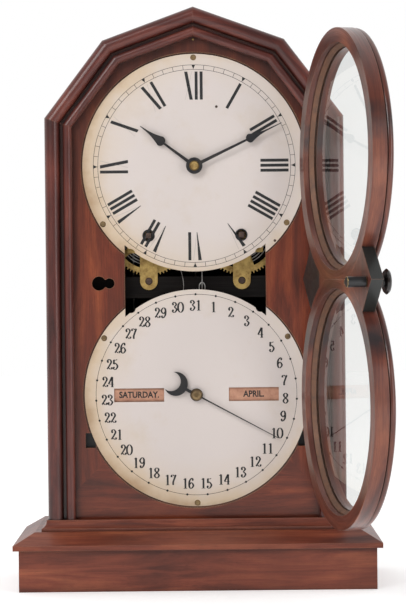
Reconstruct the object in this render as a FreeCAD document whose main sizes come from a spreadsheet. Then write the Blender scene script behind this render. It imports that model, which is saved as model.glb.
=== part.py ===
import FreeCAD, Part
import math
import os
import re

import Sketcher

from FreeCAD import Placement, Rotation, Vector

# Shelf clock with a time dial over a perpetual-calendar dial.
# Frame: +Z up, the front faces -Y, +X is the viewer's right.
# Origin: centre of the base footprint, at the bottom.

DIMENSIONS = [
    ("plinth_half", 155.0), ("plinth_top", 36.2), ("base_front", -70.0), ("base_back", 70.0),
    ("nosing_half", 159.8), ("nosing_front", -75.0), ("nosing_top", 40.6),
    ("slope_half", 142.0), ("slope_front", -56.0), ("slope_top", 50.4),
    ("step_half", 136.3), ("step_top", 59.8),
    ("case_half", 131.0), ("shoulder_level", 411.5), ("bend_half", 79.7), ("bend_level", 479.0),
    ("peak_level", 508.0), ("case_back", 66.0), ("board_thick", 10.0), ("moulding_lap", 1.0),
    ("moulding_width", 24.0), ("moulding_depth", 12.0),
    ("panel_front", -34.0), ("panel_thick", 8.0),
    ("upper_level", 368.9), ("lower_level", 167.7), ("dial_radius", 98.4), ("dial_cut", 92.7),
    ("dial_thick", 0.8), ("rabbet_radius", 99.8), ("rabbet_depth", 1.6), ("opening_radius", 90.0),
    ("middle_half", 62.0), ("screw_circle", 95.3),
    ("wind_side", 40.8), ("wind_drop", 60.9), ("wind_hole", 4.9), ("square_side", 4.4), ("batten_half", 12.0),
    ("window_side", 50.5), ("window_wide", 44.0), ("window_tall", 12.0),
    ("plate_front", -20.0), ("plate_thick", 1.5), ("plate_gap", 30.5), ("plate_half", 60.0),
    ("plate_above", 52.0), ("plate_below", 76.0), ("foot_side", 41.2), ("foot_drop", 101.0),
    ("foot_radius", 7.75),
    ("ring_outer", 105.3), ("ring_inner", 93.2), ("ring_sight", 89.4), ("door_thick", 18.0),
    ("door_inner", -35.0), ("rabbet_wall", 10.5), ("glass_thick", 2.0),
    ("beak_corner", 73.0), ("beak_rise", 27.0), ("beak_tip", 98.0), ("beak_thick", 10.5),
    ("hinge_side", 107.0), ("hinge_front", -51.2), ("hinge_pin_radius", 1.6), ("door_angle", 102.9),
    ("latch_side", 84.8), ("latch_drop", 2.0), ("latch_radius", 4.3), ("latch_length", 16.0),
    ("keyhole_radius", 6.2), ("keyhole_small", 4.5), ("keyhole_small_side", 75.7),
    ("keyhole_neck", 6.5), ("knob_radius", 10.2), ("knob_length", 8.4),
    ("great_radius", 34.5), ("great_teeth", 72.0), ("running_gap", 0.06),
    ("bob_radius", 30.0), ("bob_level", 190.0), ("pivot_level", 440.0), ("pendulum_plane", 34.0),
]

doc = FreeCAD.newDocument("mantel_clock")
sheet = doc.addObject("Spreadsheet::Sheet", "Sheet")
for row, (alias, value) in enumerate(DIMENSIONS, start=1):
    sheet.set("A%d" % row, alias)
    sheet.set("B%d" % row, str(value))
    sheet.setAlias("B%d" % row, alias)
doc.recompute()

SIZE = {alias: float(sheet.get(alias)) for alias, value in DIMENSIONS}
FRONT_TO_BACK = Rotation(Vector(1, 0, 0), -90)
LEFT_TO_RIGHT = Rotation(Vector(0, 1, 0), 90)
UPRIGHT = Rotation()
WAIST = (SIZE["upper_level"] + SIZE["lower_level"]) / 2
DIAL_FRONT = SIZE["panel_front"] + SIZE["rabbet_depth"] - SIZE["dial_thick"]
PLATE_BACK = SIZE["plate_front"] + SIZE["plate_thick"] + SIZE["plate_gap"]
HINGE = Vector(SIZE["hinge_side"], SIZE["hinge_front"], 0)
DOOR_OPEN = Placement(Vector(), Rotation(Vector(0, 0, 1), SIZE["door_angle"]), HINGE)
sub_parts = []


# ---- helpers ---------------------------------------------------------------------------------

def formula(value):
    """An expression with each dimension's name pointed at its cell."""
    return re.sub(r"[a-z]+(_[a-z]+)+", lambda word: "Sheet." + word.group(0), str(value))


def bind(item, values):
    for path, value in values.items():
        item.setExpression(path, formula(value))
    return item


def place(item, x, y, z, rotation=UPRIGHT):
    item.Placement = Placement(Vector(), rotation)
    return bind(item, {"Placement.Base.x": x, "Placement.Base.y": y, "Placement.Base.z": z})


def box(x, y, z, wide, deep, tall, name="block"):
    item = doc.addObject("Part::Box", name)
    bind(item, {"Length": wide, "Width": deep, "Height": tall})
    return place(item, x, y, z)


def rod(x, y, z, radius, length, direction=FRONT_TO_BACK, name="rod"):
    item = doc.addObject("Part::Cylinder", name)
    bind(item, {"Radius": radius, "Height": length})
    return place(item, x, y, z, direction)


def cone(x, y, z, first, second, length, direction=FRONT_TO_BACK, name="cone"):
    item = doc.addObject("Part::Cone", name)
    bind(item, {"Radius1": first, "Radius2": second, "Height": length})
    return place(item, x, y, z, direction)


def solid(shape, name="solid"):
    item = doc.addObject("Part::Feature", name)
    item.Shape = shape
    return item


def join(*items):
    if len(items) == 1:
        return items[0]
    item = doc.addObject("Part::MultiFuse", "join")
    item.Shapes = list(items)
    return item


def group(*items):
    item = doc.addObject("Part::Compound", "group")
    item.Links = list(items)
    return item


def cut(base, *tools):
    item = doc.addObject("Part::Cut", "cut")
    item.Base = base
    item.Tool = join(*tools)
    return item


def keep(node, item, placement=None):
    """Name a finished sub-part, and swing it with the door if a placement is given."""
    item.Label = node
    if placement is not None:
        item.Placement = placement
    sub_parts.append(item)
    return item


def sketch_on(body, role, points):
    """A closed outline on one of the body's own planes, each corner held by two dimensions."""
    plane = [f for f in body.Origin.OriginFeatures if f.Role == role][0]
    sketch = body.newObject("Sketcher::SketchObject", body.Name + "_outline")
    sketch.AttachmentSupport = [(plane, "")]
    sketch.MapMode = "FlatFace"
    numbers = [[number(value) for value in point] for point in points]
    count = len(points)
    for index in range(count):
        start = Vector(*numbers[index], 0)
        end = Vector(*numbers[(index + 1) % count], 0)
        sketch.addGeometry(Part.LineSegment(start, end))
    for index in range(count):
        sketch.addConstraint(Sketcher.Constraint("Coincident", index, 2, (index + 1) % count, 1))
    for index, point in enumerate(points):
        for kind, axis, value, amount in zip(("DistanceX", "DistanceY"), (-2, -1), point, numbers[index]):
            if amount == 0:
                sketch.addConstraint(Sketcher.Constraint("PointOnObject", index, 1, axis))
                continue
            held = sketch.addConstraint(Sketcher.Constraint(kind, -1, 1, index, 1, amount))
            sketch.setExpression("Constraints[%d]" % held, formula(value))
    return sketch


def number(value):
    """The value of an expression in the sheet's names, for a first guess of a sketch."""
    return float(work_out(str(value)))


def work_out(text):
    total = 0.0
    for sign, term in re.findall(r"([+-]?)\s*([^+-]+)", text):
        product = 1.0
        for operator, factor in re.findall(r"([*/]?)\s*([^*/\s]+)", term):
            amount = SIZE[factor] if factor in SIZE else float(factor)
            product = product / amount if operator == "/" else product * amount
        total += -product if sign == "-" else product
    return total


def turned(name, profile, x, y, z, direction):
    """A lathe-turned piece: (radius, length along the axis) pairs, turned about the axis."""
    body = doc.addObject("PartDesign::Body", name)
    sketch = sketch_on(body, "XZ_Plane", profile)
    turn = body.newObject("PartDesign::Revolution", name + "_turning")
    turn.Profile = sketch
    turn.ReferenceAxis = (sketch, ["V_Axis"])
    turn.Angle = 360.0
    return place(body, x, y, z, direction)


def prism(points, y_front, y_back):
    """A straight prism from front to back over an (x, z) polygon."""
    corners = [Vector(x, y_front, z) for x, z in points]
    face = Part.Face(Part.makePolygon(corners + corners[:1]))
    return face.extrude(Vector(0, y_back - y_front, 0))


def disc(x, z, radius, y_front, y_back):
    return Part.makeCylinder(radius, y_back - y_front, Vector(x, y_front, z), Vector(0, 1, 0))


# ---- case ------------------------------------------------------------------------------------

def outline_corners():
    """The outer line of the moulded front, from the left foot over the peak to the right foot."""
    half, bend = SIZE["case_half"], SIZE["bend_half"]
    foot, shoulder = SIZE["slope_top"], SIZE["shoulder_level"]
    left = [(-half, foot), (-half, shoulder), (-bend, SIZE["bend_level"]), (0, SIZE["peak_level"])]
    return left + [(-x, z) for x, z in reversed(left[:3])]


def mitre(corners, index):
    """The outward vector at a corner that reaches one unit from both of its edges."""
    here = Vector(corners[index][0], 0, corners[index][1])
    sides = []
    if index > 0:
        sides.append(here - Vector(corners[index - 1][0], 0, corners[index - 1][1]))
    if index < len(corners) - 1:
        sides.append(Vector(corners[index + 1][0], 0, corners[index + 1][1]) - here)
    normals = [Vector(-side.z, 0, side.x).normalize() for side in sides]
    total = sum(normals, Vector())
    return total * (len(normals) / total.Length ** 2) if len(normals) > 1 else total


def at_offset(corners, offset):
    """The corners moved outward by offset, keeping every edge parallel."""
    moved = []
    for index, (x, z) in enumerate(corners):
        reach = mitre(corners, index) * offset
        moved.append((x + reach.x, z + reach.z))
    return moved


def mitred_piece(corners, index, section, inner, outer):
    """One length of moulding between two mitres; section draws its face from (offset, y)."""
    start = Vector(corners[index][0], 0, corners[index][1])
    end = Vector(corners[index + 1][0], 0, corners[index + 1][1])
    along = (end - start).normalize()
    outward = Vector(-along.z, 0, along.x)
    margin = 60.0
    edges = section(start - along * margin, outward)
    face = Part.Face(Part.Wire(edges))
    length = (end - start).Length + 2 * margin
    rail = face.extrude(along * length)
    low, high = at_offset(corners, inner), at_offset(corners, outer)
    window = prism([low[index], low[index + 1], high[index + 1], high[index]], -200.0, 200.0)
    return rail.common(window)


def board_section(depth_front, depth_back, outer, inner):
    def section(origin, outward):
        points = [origin + outward * reach + Vector(0, y, 0) for reach, y in
                  ((inner, depth_front), (outer, depth_front), (outer, depth_back), (inner, depth_back))]
        return Part.makePolygon(points + points[:1]).Edges
    return section


def moulding_section(origin, outward):
    """A big outer round, a groove and an inner bead, standing forward of the panel."""
    back = SIZE["panel_front"]
    wide, proud = SIZE["moulding_width"], SIZE["moulding_depth"]
    big, bead = 6.75, 3.95
    groove_back = back - proud + 8.0

    def at(offset, y):
        return origin + outward * offset + Vector(0, y, 0)

    shoulder = back - proud + big
    bead_shoulder = back - proud + 0.8 + bead
    groove = -2 * big
    bead_edge = -wide + 2 * bead
    corners = [at(-wide, back), at(0, back), at(0, shoulder)]
    tail = [at(groove, shoulder), at(groove, groove_back), at(bead_edge, groove_back),
            at(bead_edge, bead_shoulder)]
    edges = [Part.makeLine(corners[0], corners[1]), Part.makeLine(corners[1], corners[2])]
    edges.append(Part.Arc(corners[2], at(-big, back - proud), tail[0]).toShape())
    edges += [Part.makeLine(first, second) for first, second in zip(tail, tail[1:])]
    crown = at(-wide + bead, bead_shoulder - bead)
    edges.append(Part.Arc(tail[-1], crown, at(-wide, bead_shoulder)).toShape())
    edges.append(Part.makeLine(at(-wide, bead_shoulder), corners[0]))
    return edges


def build_base():
    across = "2 * plinth_half"
    between = "2 * plinth_half - 2 * board_thick"
    deep = "base_back - base_front - board_thick"
    boards = [box("-plinth_half", "base_front", 0, across, "board_thick", "plinth_top"),
              box("-plinth_half + board_thick", "base_back - board_thick", 0, between, "board_thick",
                  "plinth_top")]
    for x in ("-plinth_half", "plinth_half - board_thick"):
        boards.append(box(x, "base_front + board_thick", 0, "board_thick", deep, "plinth_top"))
    boards.append(box("-batten_half", "base_front + board_thick", 0, "2 * batten_half",
                      deep + " - board_thick", "board_thick"))
    keep("plinth_boards", group(*boards))

    nosing = box("-nosing_half", "nosing_front", "plinth_top", "2 * nosing_half",
                 "base_back - nosing_front", "nosing_top - plinth_top")
    slope = doc.addObject("Part::Wedge", "slope")
    bind(slope, {"Xmin": "-nosing_half", "Xmax": "nosing_half", "Ymin": 0, "Ymax": "slope_top - nosing_top",
                 "Zmin": "-base_back", "Zmax": "-nosing_front", "X2min": "-slope_half",
                 "X2max": "slope_half", "Z2min": "-base_back", "Z2max": "-slope_front"})
    place(slope, 0, 0, "nosing_top", Rotation(Vector(1, 0, 0), 90))
    keep("base_top_board", join(nosing, slope))

    half, front, foot = SIZE["case_half"], SIZE["panel_front"] - SIZE["moulding_depth"], SIZE["slope_top"]
    proud = SIZE["step_half"] - half
    rise = SIZE["step_top"] - foot
    strips = []
    ring = [(-half, SIZE["case_back"]), (-half, front), (half, front), (half, SIZE["case_back"])]
    for index in range(3):
        strips.append(step_strip(ring, index, proud, rise, foot))
    keep("base_step_moulding", group(*[solid(strip, "step") for strip in strips]))


def step_strip(ring, index, proud, rise, foot):
    """One side of the cove: a concave section swept level along the wall, cut at 45 degrees."""
    start = Vector(ring[index][0], ring[index][1], foot)
    end = Vector(ring[index + 1][0], ring[index + 1][1], foot)
    along = (end - start).normalize()
    outward = Vector(along.y, -along.x, 0)
    origin = start - along * proud

    def at(offset, level):
        return origin + outward * offset + Vector(0, 0, level)

    toe, lip = 2.4, 1.2
    edges = [Part.makeLine(at(0, 0), at(proud, 0)), Part.makeLine(at(proud, 0), at(proud, toe)),
             Part.Arc(at(proud, toe), at(0.45 * proud, 0.48 * rise), at(lip, rise)).toShape(),
             Part.makeLine(at(lip, rise), at(0, rise)), Part.makeLine(at(0, rise), at(0, 0))]
    length = (end - start).Length + 2 * proud
    rail = Part.Face(Part.Wire(edges)).extrude(along * length)
    first = 0.0 if index == 0 else proud
    last = 0.0 if index == 2 else proud
    window = [start, end, end + outward * proud + along * last, start + outward * proud - along * first]
    area = Part.Face(Part.makePolygon(window + window[:1]))
    return rail.common(area.extrude(Vector(0, 0, rise)))


def build_carcass():
    corners = outline_corners()
    lap, thick = SIZE["moulding_lap"], SIZE["board_thick"]
    boards = board_section(SIZE["panel_front"], SIZE["case_back"], -lap, -lap - thick)
    mouldings = moulding_section
    wide = -SIZE["moulding_width"]
    last = len(corners) - 2
    sides = [solid(mitred_piece(corners, index, boards, -lap - thick, -lap), "side")
             for index in (0, last)]
    keep("side_boards", group(*sides))
    roof = [solid(mitred_piece(corners, index, boards, -lap - thick, -lap), "roof")
            for index in range(1, last)]
    keep("roof_boards", group(*roof))
    stiles = [solid(mitred_piece(corners, index, mouldings, wide, 0), "stile") for index in (0, last)]
    keep("stile_mouldings", group(*stiles))
    crown = [solid(mitred_piece(corners, index, mouldings, wide, 0), "crown")
             for index in range(1, last)]
    keep("roof_moulding", group(*crown))


def build_panels():
    inside = at_offset(outline_corners(), -SIZE["moulding_lap"] - SIZE["board_thick"])
    front = SIZE["panel_front"]
    back = front + SIZE["panel_thick"]
    floor = front + SIZE["rabbet_depth"]
    panel = prism(inside, front, back)
    levels = (SIZE["upper_level"], SIZE["lower_level"])
    for level in levels:
        panel = panel.cut(disc(0, level, SIZE["rabbet_radius"], front, floor))
        panel = panel.cut(disc(0, level, SIZE["opening_radius"], front, back))
    middle = SIZE["middle_half"]
    gap = prism([(-middle, levels[1]), (middle, levels[1]), (middle, levels[0]), (-middle, levels[0])],
                front, back)
    panel = panel.cut(gap)
    for tool in keyhole_tools(front, back) + slot_tools(front, back):
        panel = panel.cut(tool)
    keep("front_panel", solid(panel, "front_panel"))

    depth = SIZE["case_back"]
    rear = prism(inside, depth - SIZE["board_thick"], depth)
    keep("back_board", solid(rear, "back_board"))


def keyhole_tools(front, back):
    """The latch hole: a large and a small circle joined by a neck."""
    level = WAIST - SIZE["latch_drop"]
    neck = SIZE["keyhole_neck"] / 2
    large, small = -SIZE["latch_side"], -SIZE["keyhole_small_side"]
    bridge = prism([(large, level - neck), (small, level - neck), (small, level + neck),
                    (large, level + neck)], front, back)
    return [disc(large, level, SIZE["keyhole_radius"], front, back),
            disc(small, level, SIZE["keyhole_small"], front, back), bridge]


def slot_tools(front, back):
    """Two small slots beside the calendar dial, behind which its frame is screwed down."""
    level = SIZE["lower_level"] - 39.5
    slots = []
    for side in (-1, 1):
        x = side * 93.5
        slots.append(prism([(x - 4.5, level - 6.5), (x + 4.5, level - 6.5), (x + 4.5, level + 6.5),
                            (x - 4.5, level + 6.5)], front, back))
    return slots


# ---- dials and hands -------------------------------------------------------------------------

def dial_blank(level, toward):
    """A round sheet trimmed back along the middle opening, on the side given by toward."""
    y = "panel_front + rabbet_depth - dial_thick"
    sheet_disc = rod(0, y, level, "dial_radius", "dial_thick")
    low = level + " - dial_radius" if toward < 0 else level
    strip = box("-middle_half", y, low, "2 * middle_half", "dial_thick", "dial_radius")
    trim = cut(strip, rod(0, y, level, "dial_cut", "dial_thick"))
    bites = [rod(x, y, level + toward_text(toward) + "76.5", 4.2, "dial_thick") for x in (-57.0, 57.0)]
    return sheet_disc, [trim] + bites, y


def toward_text(toward):
    return " - " if toward < 0 else " + "


def screw_places():
    """Dial screws: (x, z) of three on each dial, clear of the trimmed stretch."""
    radius = SIZE["screw_circle"]
    places = []
    for level, angles in ((SIZE["upper_level"], (0, 122, 238)), (SIZE["lower_level"], (58, 180, 302))):
        for angle in angles:
            turn = math.radians(angle)
            places.append((radius * math.sin(turn), level + radius * math.cos(turn)))
    return places


def build_dials():
    hub_hole = 4.6
    screws = screw_places()
    hole = 1.3
    sheet_disc, trims, y = dial_blank("upper_level", -1)
    holes = [rod(0, y, "upper_level", hub_hole, "dial_thick")]
    for side in ("-wind_side", "wind_side"):
        holes.append(rod(side, y, "upper_level - wind_drop", "wind_hole", "dial_thick"))
    holes += [rod(x, y, z, hole, "dial_thick") for x, z in screws[:3]]
    keep("time_dial", cut(sheet_disc, *trims, *holes))

    sheet_disc, trims, y = dial_blank("lower_level", 1)
    holes = [rod(0, y, "lower_level", hub_hole / 2, "dial_thick")]
    for side in ("-window_side - window_wide / 2", "window_side - window_wide / 2"):
        holes.append(box(side, y, "lower_level - window_tall / 2", "window_wide", "dial_thick", "window_tall"))
    holes += [rod(x, y, z, hole, "dial_thick") for x, z in screws[3:]]
    keep("calendar_dial", cut(sheet_disc, *trims, *holes))

    head, tall, shank = 2.6, 0.9, 1.2
    fasteners = []
    for x, z in screws:
        dome = cone(x, DIAL_FRONT - tall, z, head - 0.7, head, tall)
        slot = box(x - head, DIAL_FRONT - tall, z - 0.3, 2 * head, 0.5, 0.6)
        fasteners.append(cut(join(dome, rod(x, DIAL_FRONT - 0.2, z, shank, 1.0)), slot))
    keep("dial_screws", group(*fasteners))

    grommets = []
    for side in ("-wind_side", "wind_side"):
        flange = rod(side, DIAL_FRONT - 0.5, "upper_level - wind_drop", "wind_hole + 0.5", 0.5)
        sleeve = rod(side, DIAL_FRONT, "upper_level - wind_drop", "wind_hole - 0.05", 1.6)
        bore = rod(side, DIAL_FRONT - 0.5, "upper_level - wind_drop", "wind_hole - 0.6", 2.1)
        grommets.append(cut(join(flange, sleeve), bore))
    keep("winding_grommets", group(*grommets))


def hand_face(length, leaf_at, leaf_half, y):
    """A pointer along +Z: a tapered shank, a leaf round at its foot, and a fine point."""
    foot_half, neck_half, point_half = 1.55, 0.95, 0.3

    def at(x, z):
        return Vector(x, y, z)

    def side(sign):
        neck = leaf_at - leaf_half * 0.97
        tail = leaf_at + 3.6 * leaf_half
        return [
            Part.makeLine(at(sign * foot_half, 0), at(sign * neck_half, neck)),
            Part.Arc(at(sign * neck_half, neck), at(sign * leaf_half * 0.86, leaf_at - leaf_half * 0.55),
                     at(sign * leaf_half, leaf_at)).toShape(),
            Part.Arc(at(sign * leaf_half, leaf_at), at(sign * leaf_half * 0.50, leaf_at + 1.5 * leaf_half),
                     at(sign * neck_half * 0.75, tail)).toShape(),
            Part.makeLine(at(sign * neck_half * 0.75, tail), at(sign * point_half, length)),
        ]

    right, left = side(1), side(-1)
    tip = Part.makeLine(at(point_half, length), at(-point_half, length))
    heel = Part.makeLine(at(-foot_half, 0), at(foot_half, 0))
    return Part.Face(Part.Wire(Part.__sortEdges__(right + [tip] + left + [heel])))


def hand(length, leaf_at, leaf_half, hub, bore, y, thick, level, angle):
    """A flat hand pointing angle degrees clockwise from 12, seen from the front."""
    shape = hand_face(length, leaf_at, leaf_half, y).extrude(Vector(0, thick, 0))
    shape = shape.fuse(disc(0, 0, hub, y, y + thick)).removeSplitter()
    shape = shape.cut(disc(0, 0, bore, y, y + thick))
    shape.rotate(Vector(), Vector(0, 1, 0), angle)
    shape.translate(Vector(0, 0, level))
    return shape


HOUR_ANGLE, MINUTE_ANGLE, DATE_ANGLE = 306.8, 64.4, 118.4
CANNON_RADIUS, PIPE_RADIUS = 2.2, 3.3


def build_hands():
    upper, lower = SIZE["upper_level"], SIZE["lower_level"]
    thick = 0.9
    keep("hour_hand", solid(hand(58.9, 37.0, 4.4, 6.9, PIPE_RADIUS, -36.9, thick, upper, HOUR_ANGLE)))
    keep("minute_hand", solid(hand(85.3, 55.0, 4.0, 7.2, CANNON_RADIUS, -39.4, thick, upper, MINUTE_ANGLE)))
    collet = cone(0, -41.3, "upper_level", 3.4, 4.4, 1.9)
    pin = rod(-3.4, -41.8, "upper_level", 0.35, 6.8, LEFT_TO_RIGHT)
    tip = rod(0, -40.0, "upper_level", TRAIN_ARBOR, 0.6)
    keep("hand_collet", join(cut(collet, tip), rod(0, -42.2, "upper_level", 1.3, 0.95), pin))

    pointer = prism([(-0.7, 0), (0.7, 0), (0.28, 81.3), (-0.28, 81.3)], -36.9, -36.9 + thick)
    shape = pointer.fuse(disc(0, 0, 5.6, -36.9, -36.9 + thick))
    moon_at, moon, bite, bite_at = -20.6, 10.6, 8.6, -25.4
    crescent = disc(0, moon_at, moon, -36.9, -36.9 + thick)
    crescent = crescent.cut(disc(0, bite_at, bite, -36.9, -36.9 + thick))
    shank = prism([(-1.3, -12), (1.3, -12), (1.3, 0), (-1.3, 0)], -36.9, -36.9 + thick)
    shape = shape.fuse([crescent, shank]).removeSplitter()
    shape = shape.cut(disc(0, 0, 1.8, -36.9, -36.9 + thick))
    shape.rotate(Vector(), Vector(0, 1, 0), DATE_ANGLE)
    shape.translate(Vector(0, 0, lower))
    keep("date_hand", solid(shape))


# ---- gears -----------------------------------------------------------------------------------

def tooth_ring(teeth, root, tip, root_half, tip_half, phase):
    """Corner points of a toothed outline, one tooth centred on the phase angle (radians)."""
    points = []
    for index in range(teeth):
        middle = phase + 2 * math.pi * index / teeth
        for radius, half, side in ((root, root_half, -1), (tip, tip_half, -1), (tip, tip_half, 1),
                                   (root, root_half, 1)):
            angle = middle + side * half / radius
            points.append((radius * math.cos(angle), radius * math.sin(angle)))
    return points


def wheel(x, z, teeth, radius, y, thick, bore, phase, spokes=0, fullness=0.40):
    """A toothed wheel on the pitch radius, with spokes crossed out if asked."""
    pitch = 2 * math.pi * radius / teeth
    outline = tooth_ring(teeth, radius - 0.34 * pitch, radius + 0.30 * pitch, fullness * pitch * 0.58,
                         fullness * pitch * 0.27, phase)
    blank = prism([(x + a, z + b) for a, b in outline], y, y + thick)
    blank = blank.cut(disc(x, z, bore, y, y + thick))
    if spokes:
        rim, hub = radius * 0.84, max(bore + 2.4, radius * 0.24)
        ring = disc(x, z, rim, y, y + thick).cut(disc(x, z, hub, y, y + thick))
        for index in range(spokes):
            turn = 2 * math.pi * index / spokes
            bar = Part.makeBox(rim + 1, thick, 0.15 * radius, Vector(0, y, -0.075 * radius))
            bar.rotate(Vector(), Vector(0, 1, 0), -math.degrees(turn))
            bar.translate(Vector(x, 0, z))
            ring = ring.cut(bar)
        blank = blank.cut(ring)
    return blank


def lantern(x, z, pins, radius, pin_radius, y, length, core, phase):
    """A lantern pinion: two shrouds joined by pins round a core; a gap faces the phase angle."""
    shroud = 1.0
    outer = radius + pin_radius + 0.25
    shape = disc(x, z, core, y, y + length)
    shape = shape.fuse([disc(x, z, outer, y, y + shroud), disc(x, z, outer, y + length - shroud, y + length)])
    rods = []
    for index in range(pins):
        angle = phase + 2 * math.pi * (index + 0.5) / pins
        rods.append(disc(x + radius * math.cos(angle), z + radius * math.sin(angle), pin_radius, y, y + length))
    return shape.fuse(rods).removeSplitter()


def polar(origin, distance, degrees):
    turn = math.radians(degrees)
    return (origin[0] + distance * math.cos(turn), origin[1] + distance * math.sin(turn))


def toward(origin, target):
    """The angle from one arbor to another, in radians, from +X towards +Z."""
    return math.atan2(target[1] - origin[1], target[0] - origin[0])


# ---- movement --------------------------------------------------------------------------------

CENTRE = (0.0, SIZE["upper_level"])
GREAT = {side: (side * SIZE["wind_side"], SIZE["upper_level"] - SIZE["wind_drop"]) for side in (-1, 1)}
SECOND_PINION, SECOND_WHEEL, CENTRE_PINION = 5.75, 26.44, 6.61
SECOND = {side: polar(GREAT[side], SIZE["great_radius"] + SECOND_PINION,
                      math.degrees(toward(GREAT[side], CENTRE))) for side in (-1, 1)}
CENTRE_WHEEL, THIRD_PINION, THIRD_WHEEL, ESCAPE_PINION = 24.0, 2.4, 20.0, 2.0
THIRD = polar(CENTRE, CENTRE_WHEEL + THIRD_PINION, 115)
ESCAPE = (0.0, THIRD[1] + math.sqrt((THIRD_WHEEL + ESCAPE_PINION) ** 2 - THIRD[0] ** 2))
STRIKE_PINION, STRIKE_WHEEL, FLY_PINION = 3.3, 14.0, 1.9
STRIKE_THIRD = polar(SECOND[-1], SECOND_WHEEL + STRIKE_PINION, 120)
FLY = polar(STRIKE_THIRD, STRIKE_WHEEL + FLY_PINION, 100)
MOTION = polar(CENTRE, 14.0, -90)
VERGE = (0.0, ESCAPE[1] + 20.5)
HAMMER = (-57.0, SIZE["upper_level"] - 5.0)
WINDING_RADIUS, TRAIN_ARBOR, FINE_ARBOR = 3.2, 1.6, 1.2
BACK_FACE = PLATE_BACK + SIZE["plate_thick"]


def arbor_holes(y, thick, back):
    """Clearance holes that both plates, or only one of them, carry for the arbors."""
    gap = SIZE["running_gap"]
    places = [(CENTRE, TRAIN_ARBOR), (SECOND[1], TRAIN_ARBOR), (SECOND[-1], TRAIN_ARBOR),
              (THIRD, FINE_ARBOR), (ESCAPE, FINE_ARBOR), (STRIKE_THIRD, FINE_ARBOR), (FLY, FINE_ARBOR),
              (HAMMER, FINE_ARBOR), (GREAT[1], WINDING_RADIUS), (GREAT[-1], WINDING_RADIUS)]
    if back:
        places.append((VERGE, FINE_ARBOR))
    return [disc(x, z, radius + gap, y, y + thick) for (x, z), radius in places]


def lightening_holes(y, thick):
    upper = SIZE["upper_level"]
    return [disc(x, upper + z, radius, y, y + thick) for x, z, radius in
            ((-34, 48, 11), (34, 48, 11), (38, 8, 13), (0, -50, 10))]


def build_plates():
    half, upper = SIZE["plate_half"], SIZE["upper_level"]
    thick = SIZE["plate_thick"]
    top, bottom = upper + SIZE["plate_above"] + 26, upper - SIZE["plate_below"]
    shoulder = 18
    outline = [(-half, bottom), (half, bottom), (half, top - shoulder), (half - shoulder, top),
               (-half + shoulder, top), (-half, top - shoulder)]
    for node, y, back in (("movement_front_plate", SIZE["plate_front"], False),
                          ("movement_back_plate", PLATE_BACK, True)):
        shape = prism(outline, y, y + thick)
        if not back:
            foot = upper - SIZE["foot_drop"]
            for side in (-1, 1):
                x, radius = side * SIZE["foot_side"], SIZE["foot_radius"]
                leg = prism([(x - radius, foot), (x + radius, foot), (x + radius, bottom),
                             (x - radius, bottom)], y, y + thick)
                shape = shape.fuse([leg, disc(x, foot, radius, y, y + thick)])
                shape = shape.cut(disc(x, foot, 1.8, y, y + thick))
            shape = shape.removeSplitter()
        for tool in arbor_holes(y, thick, back) + lightening_holes(y, thick):
            shape = shape.cut(tool)
        keep(node, solid(shape, node))

    gap = SIZE["plate_gap"]
    inner = SIZE["plate_front"] + thick
    pillars = [rod(x, inner, "upper_level + %s" % z, 3.2, gap) for x, z in
               ((-52, 44), (52, 44), (-55.5, -18), (55.5, -18), (0, -70))]
    stud = rod(MOTION[0], -29.2, MOTION[1], 1.2, "plate_front + 29.2")
    keep("movement_pillars", group(*pillars, stud))

    screws = []
    for side in ("-foot_side", "foot_side"):
        head = cone(side, "plate_front - 1.4", "upper_level - foot_drop", 2.4, 3.3, 1.4)
        shank = rod(side, "plate_front - 0.1", "upper_level - foot_drop", 1.7, 9)
        slot = box(side + " - 4", "plate_front - 1.4", "upper_level - foot_drop - 0.4", 8, 0.7, 0.8)
        screws.append(cut(join(head, shank), slot))
    keep("foot_screws", group(*screws))

    rail = box("-case_half + board_thick + moulding_lap", "plate_front + plate_thick",
               "upper_level - foot_drop - 15", "2 * (case_half - board_thick - moulding_lap)", 12, 19)
    bores = [rod(side, "plate_front + plate_thick", "upper_level - foot_drop", 1.7, 7.4)
             for side in ("-foot_side", "foot_side")]
    keep("seat_rail", cut(rail, *bores))


def build_winding():
    """Great wheels, their winding arbors with ratchets, clicks and mainsprings, one of each a side."""
    teeth, radius = int(SIZE["great_teeth"]), SIZE["great_radius"]
    face, thick = -16.0, 3.0
    names = {1: "time", -1: "strike"}
    springs = []
    for side in (1, -1):
        x, z = GREAT[side]
        name = names[side]
        shape = wheel(x, z, teeth, radius, face, thick, WINDING_RADIUS + SIZE["running_gap"],
                      toward(GREAT[side], SECOND[side]), spokes=5)
        great = solid(shape)

        ratchet = tooth_ring(18, 9.4, 11.0, 1.5, 0.15, 0.0)
        shape = prism([(x + a, z + b) for a, b in ratchet], face + thick + 0.4, face + thick + 1.6)
        square = SIZE["square_side"]
        shape = shape.fuse([disc(x, z, WINDING_RADIUS, -31.8, BACK_FACE + 1.5),
                            Part.makeBox(square, 6.0, square, Vector(x - square / 2, -37.6, z - square / 2))])
        keep(name + "_winding_arbor", solid(shape.removeSplitter()))

        arm = prism([(x + 11.4, z + 1.0), (x + 20.0, z - 8.0), (x + 24.0, z - 4.5), (x + 13.4, z + 3.0)],
                    face + thick + 0.4, face + thick + 1.4)
        pivot = disc(x + 21.6, z - 6.0, 3.6, face + thick, face + thick + 1.8)
        click = solid(arm.fuse(pivot).removeSplitter())
        keep(name + "_great_wheel", group(great, click))
        springs.append(solid(spiral(x, z, 5.0, 26.5, 9, 0.7, -10.4, 0.4)))
    keep("mainsprings", group(*springs))


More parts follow.
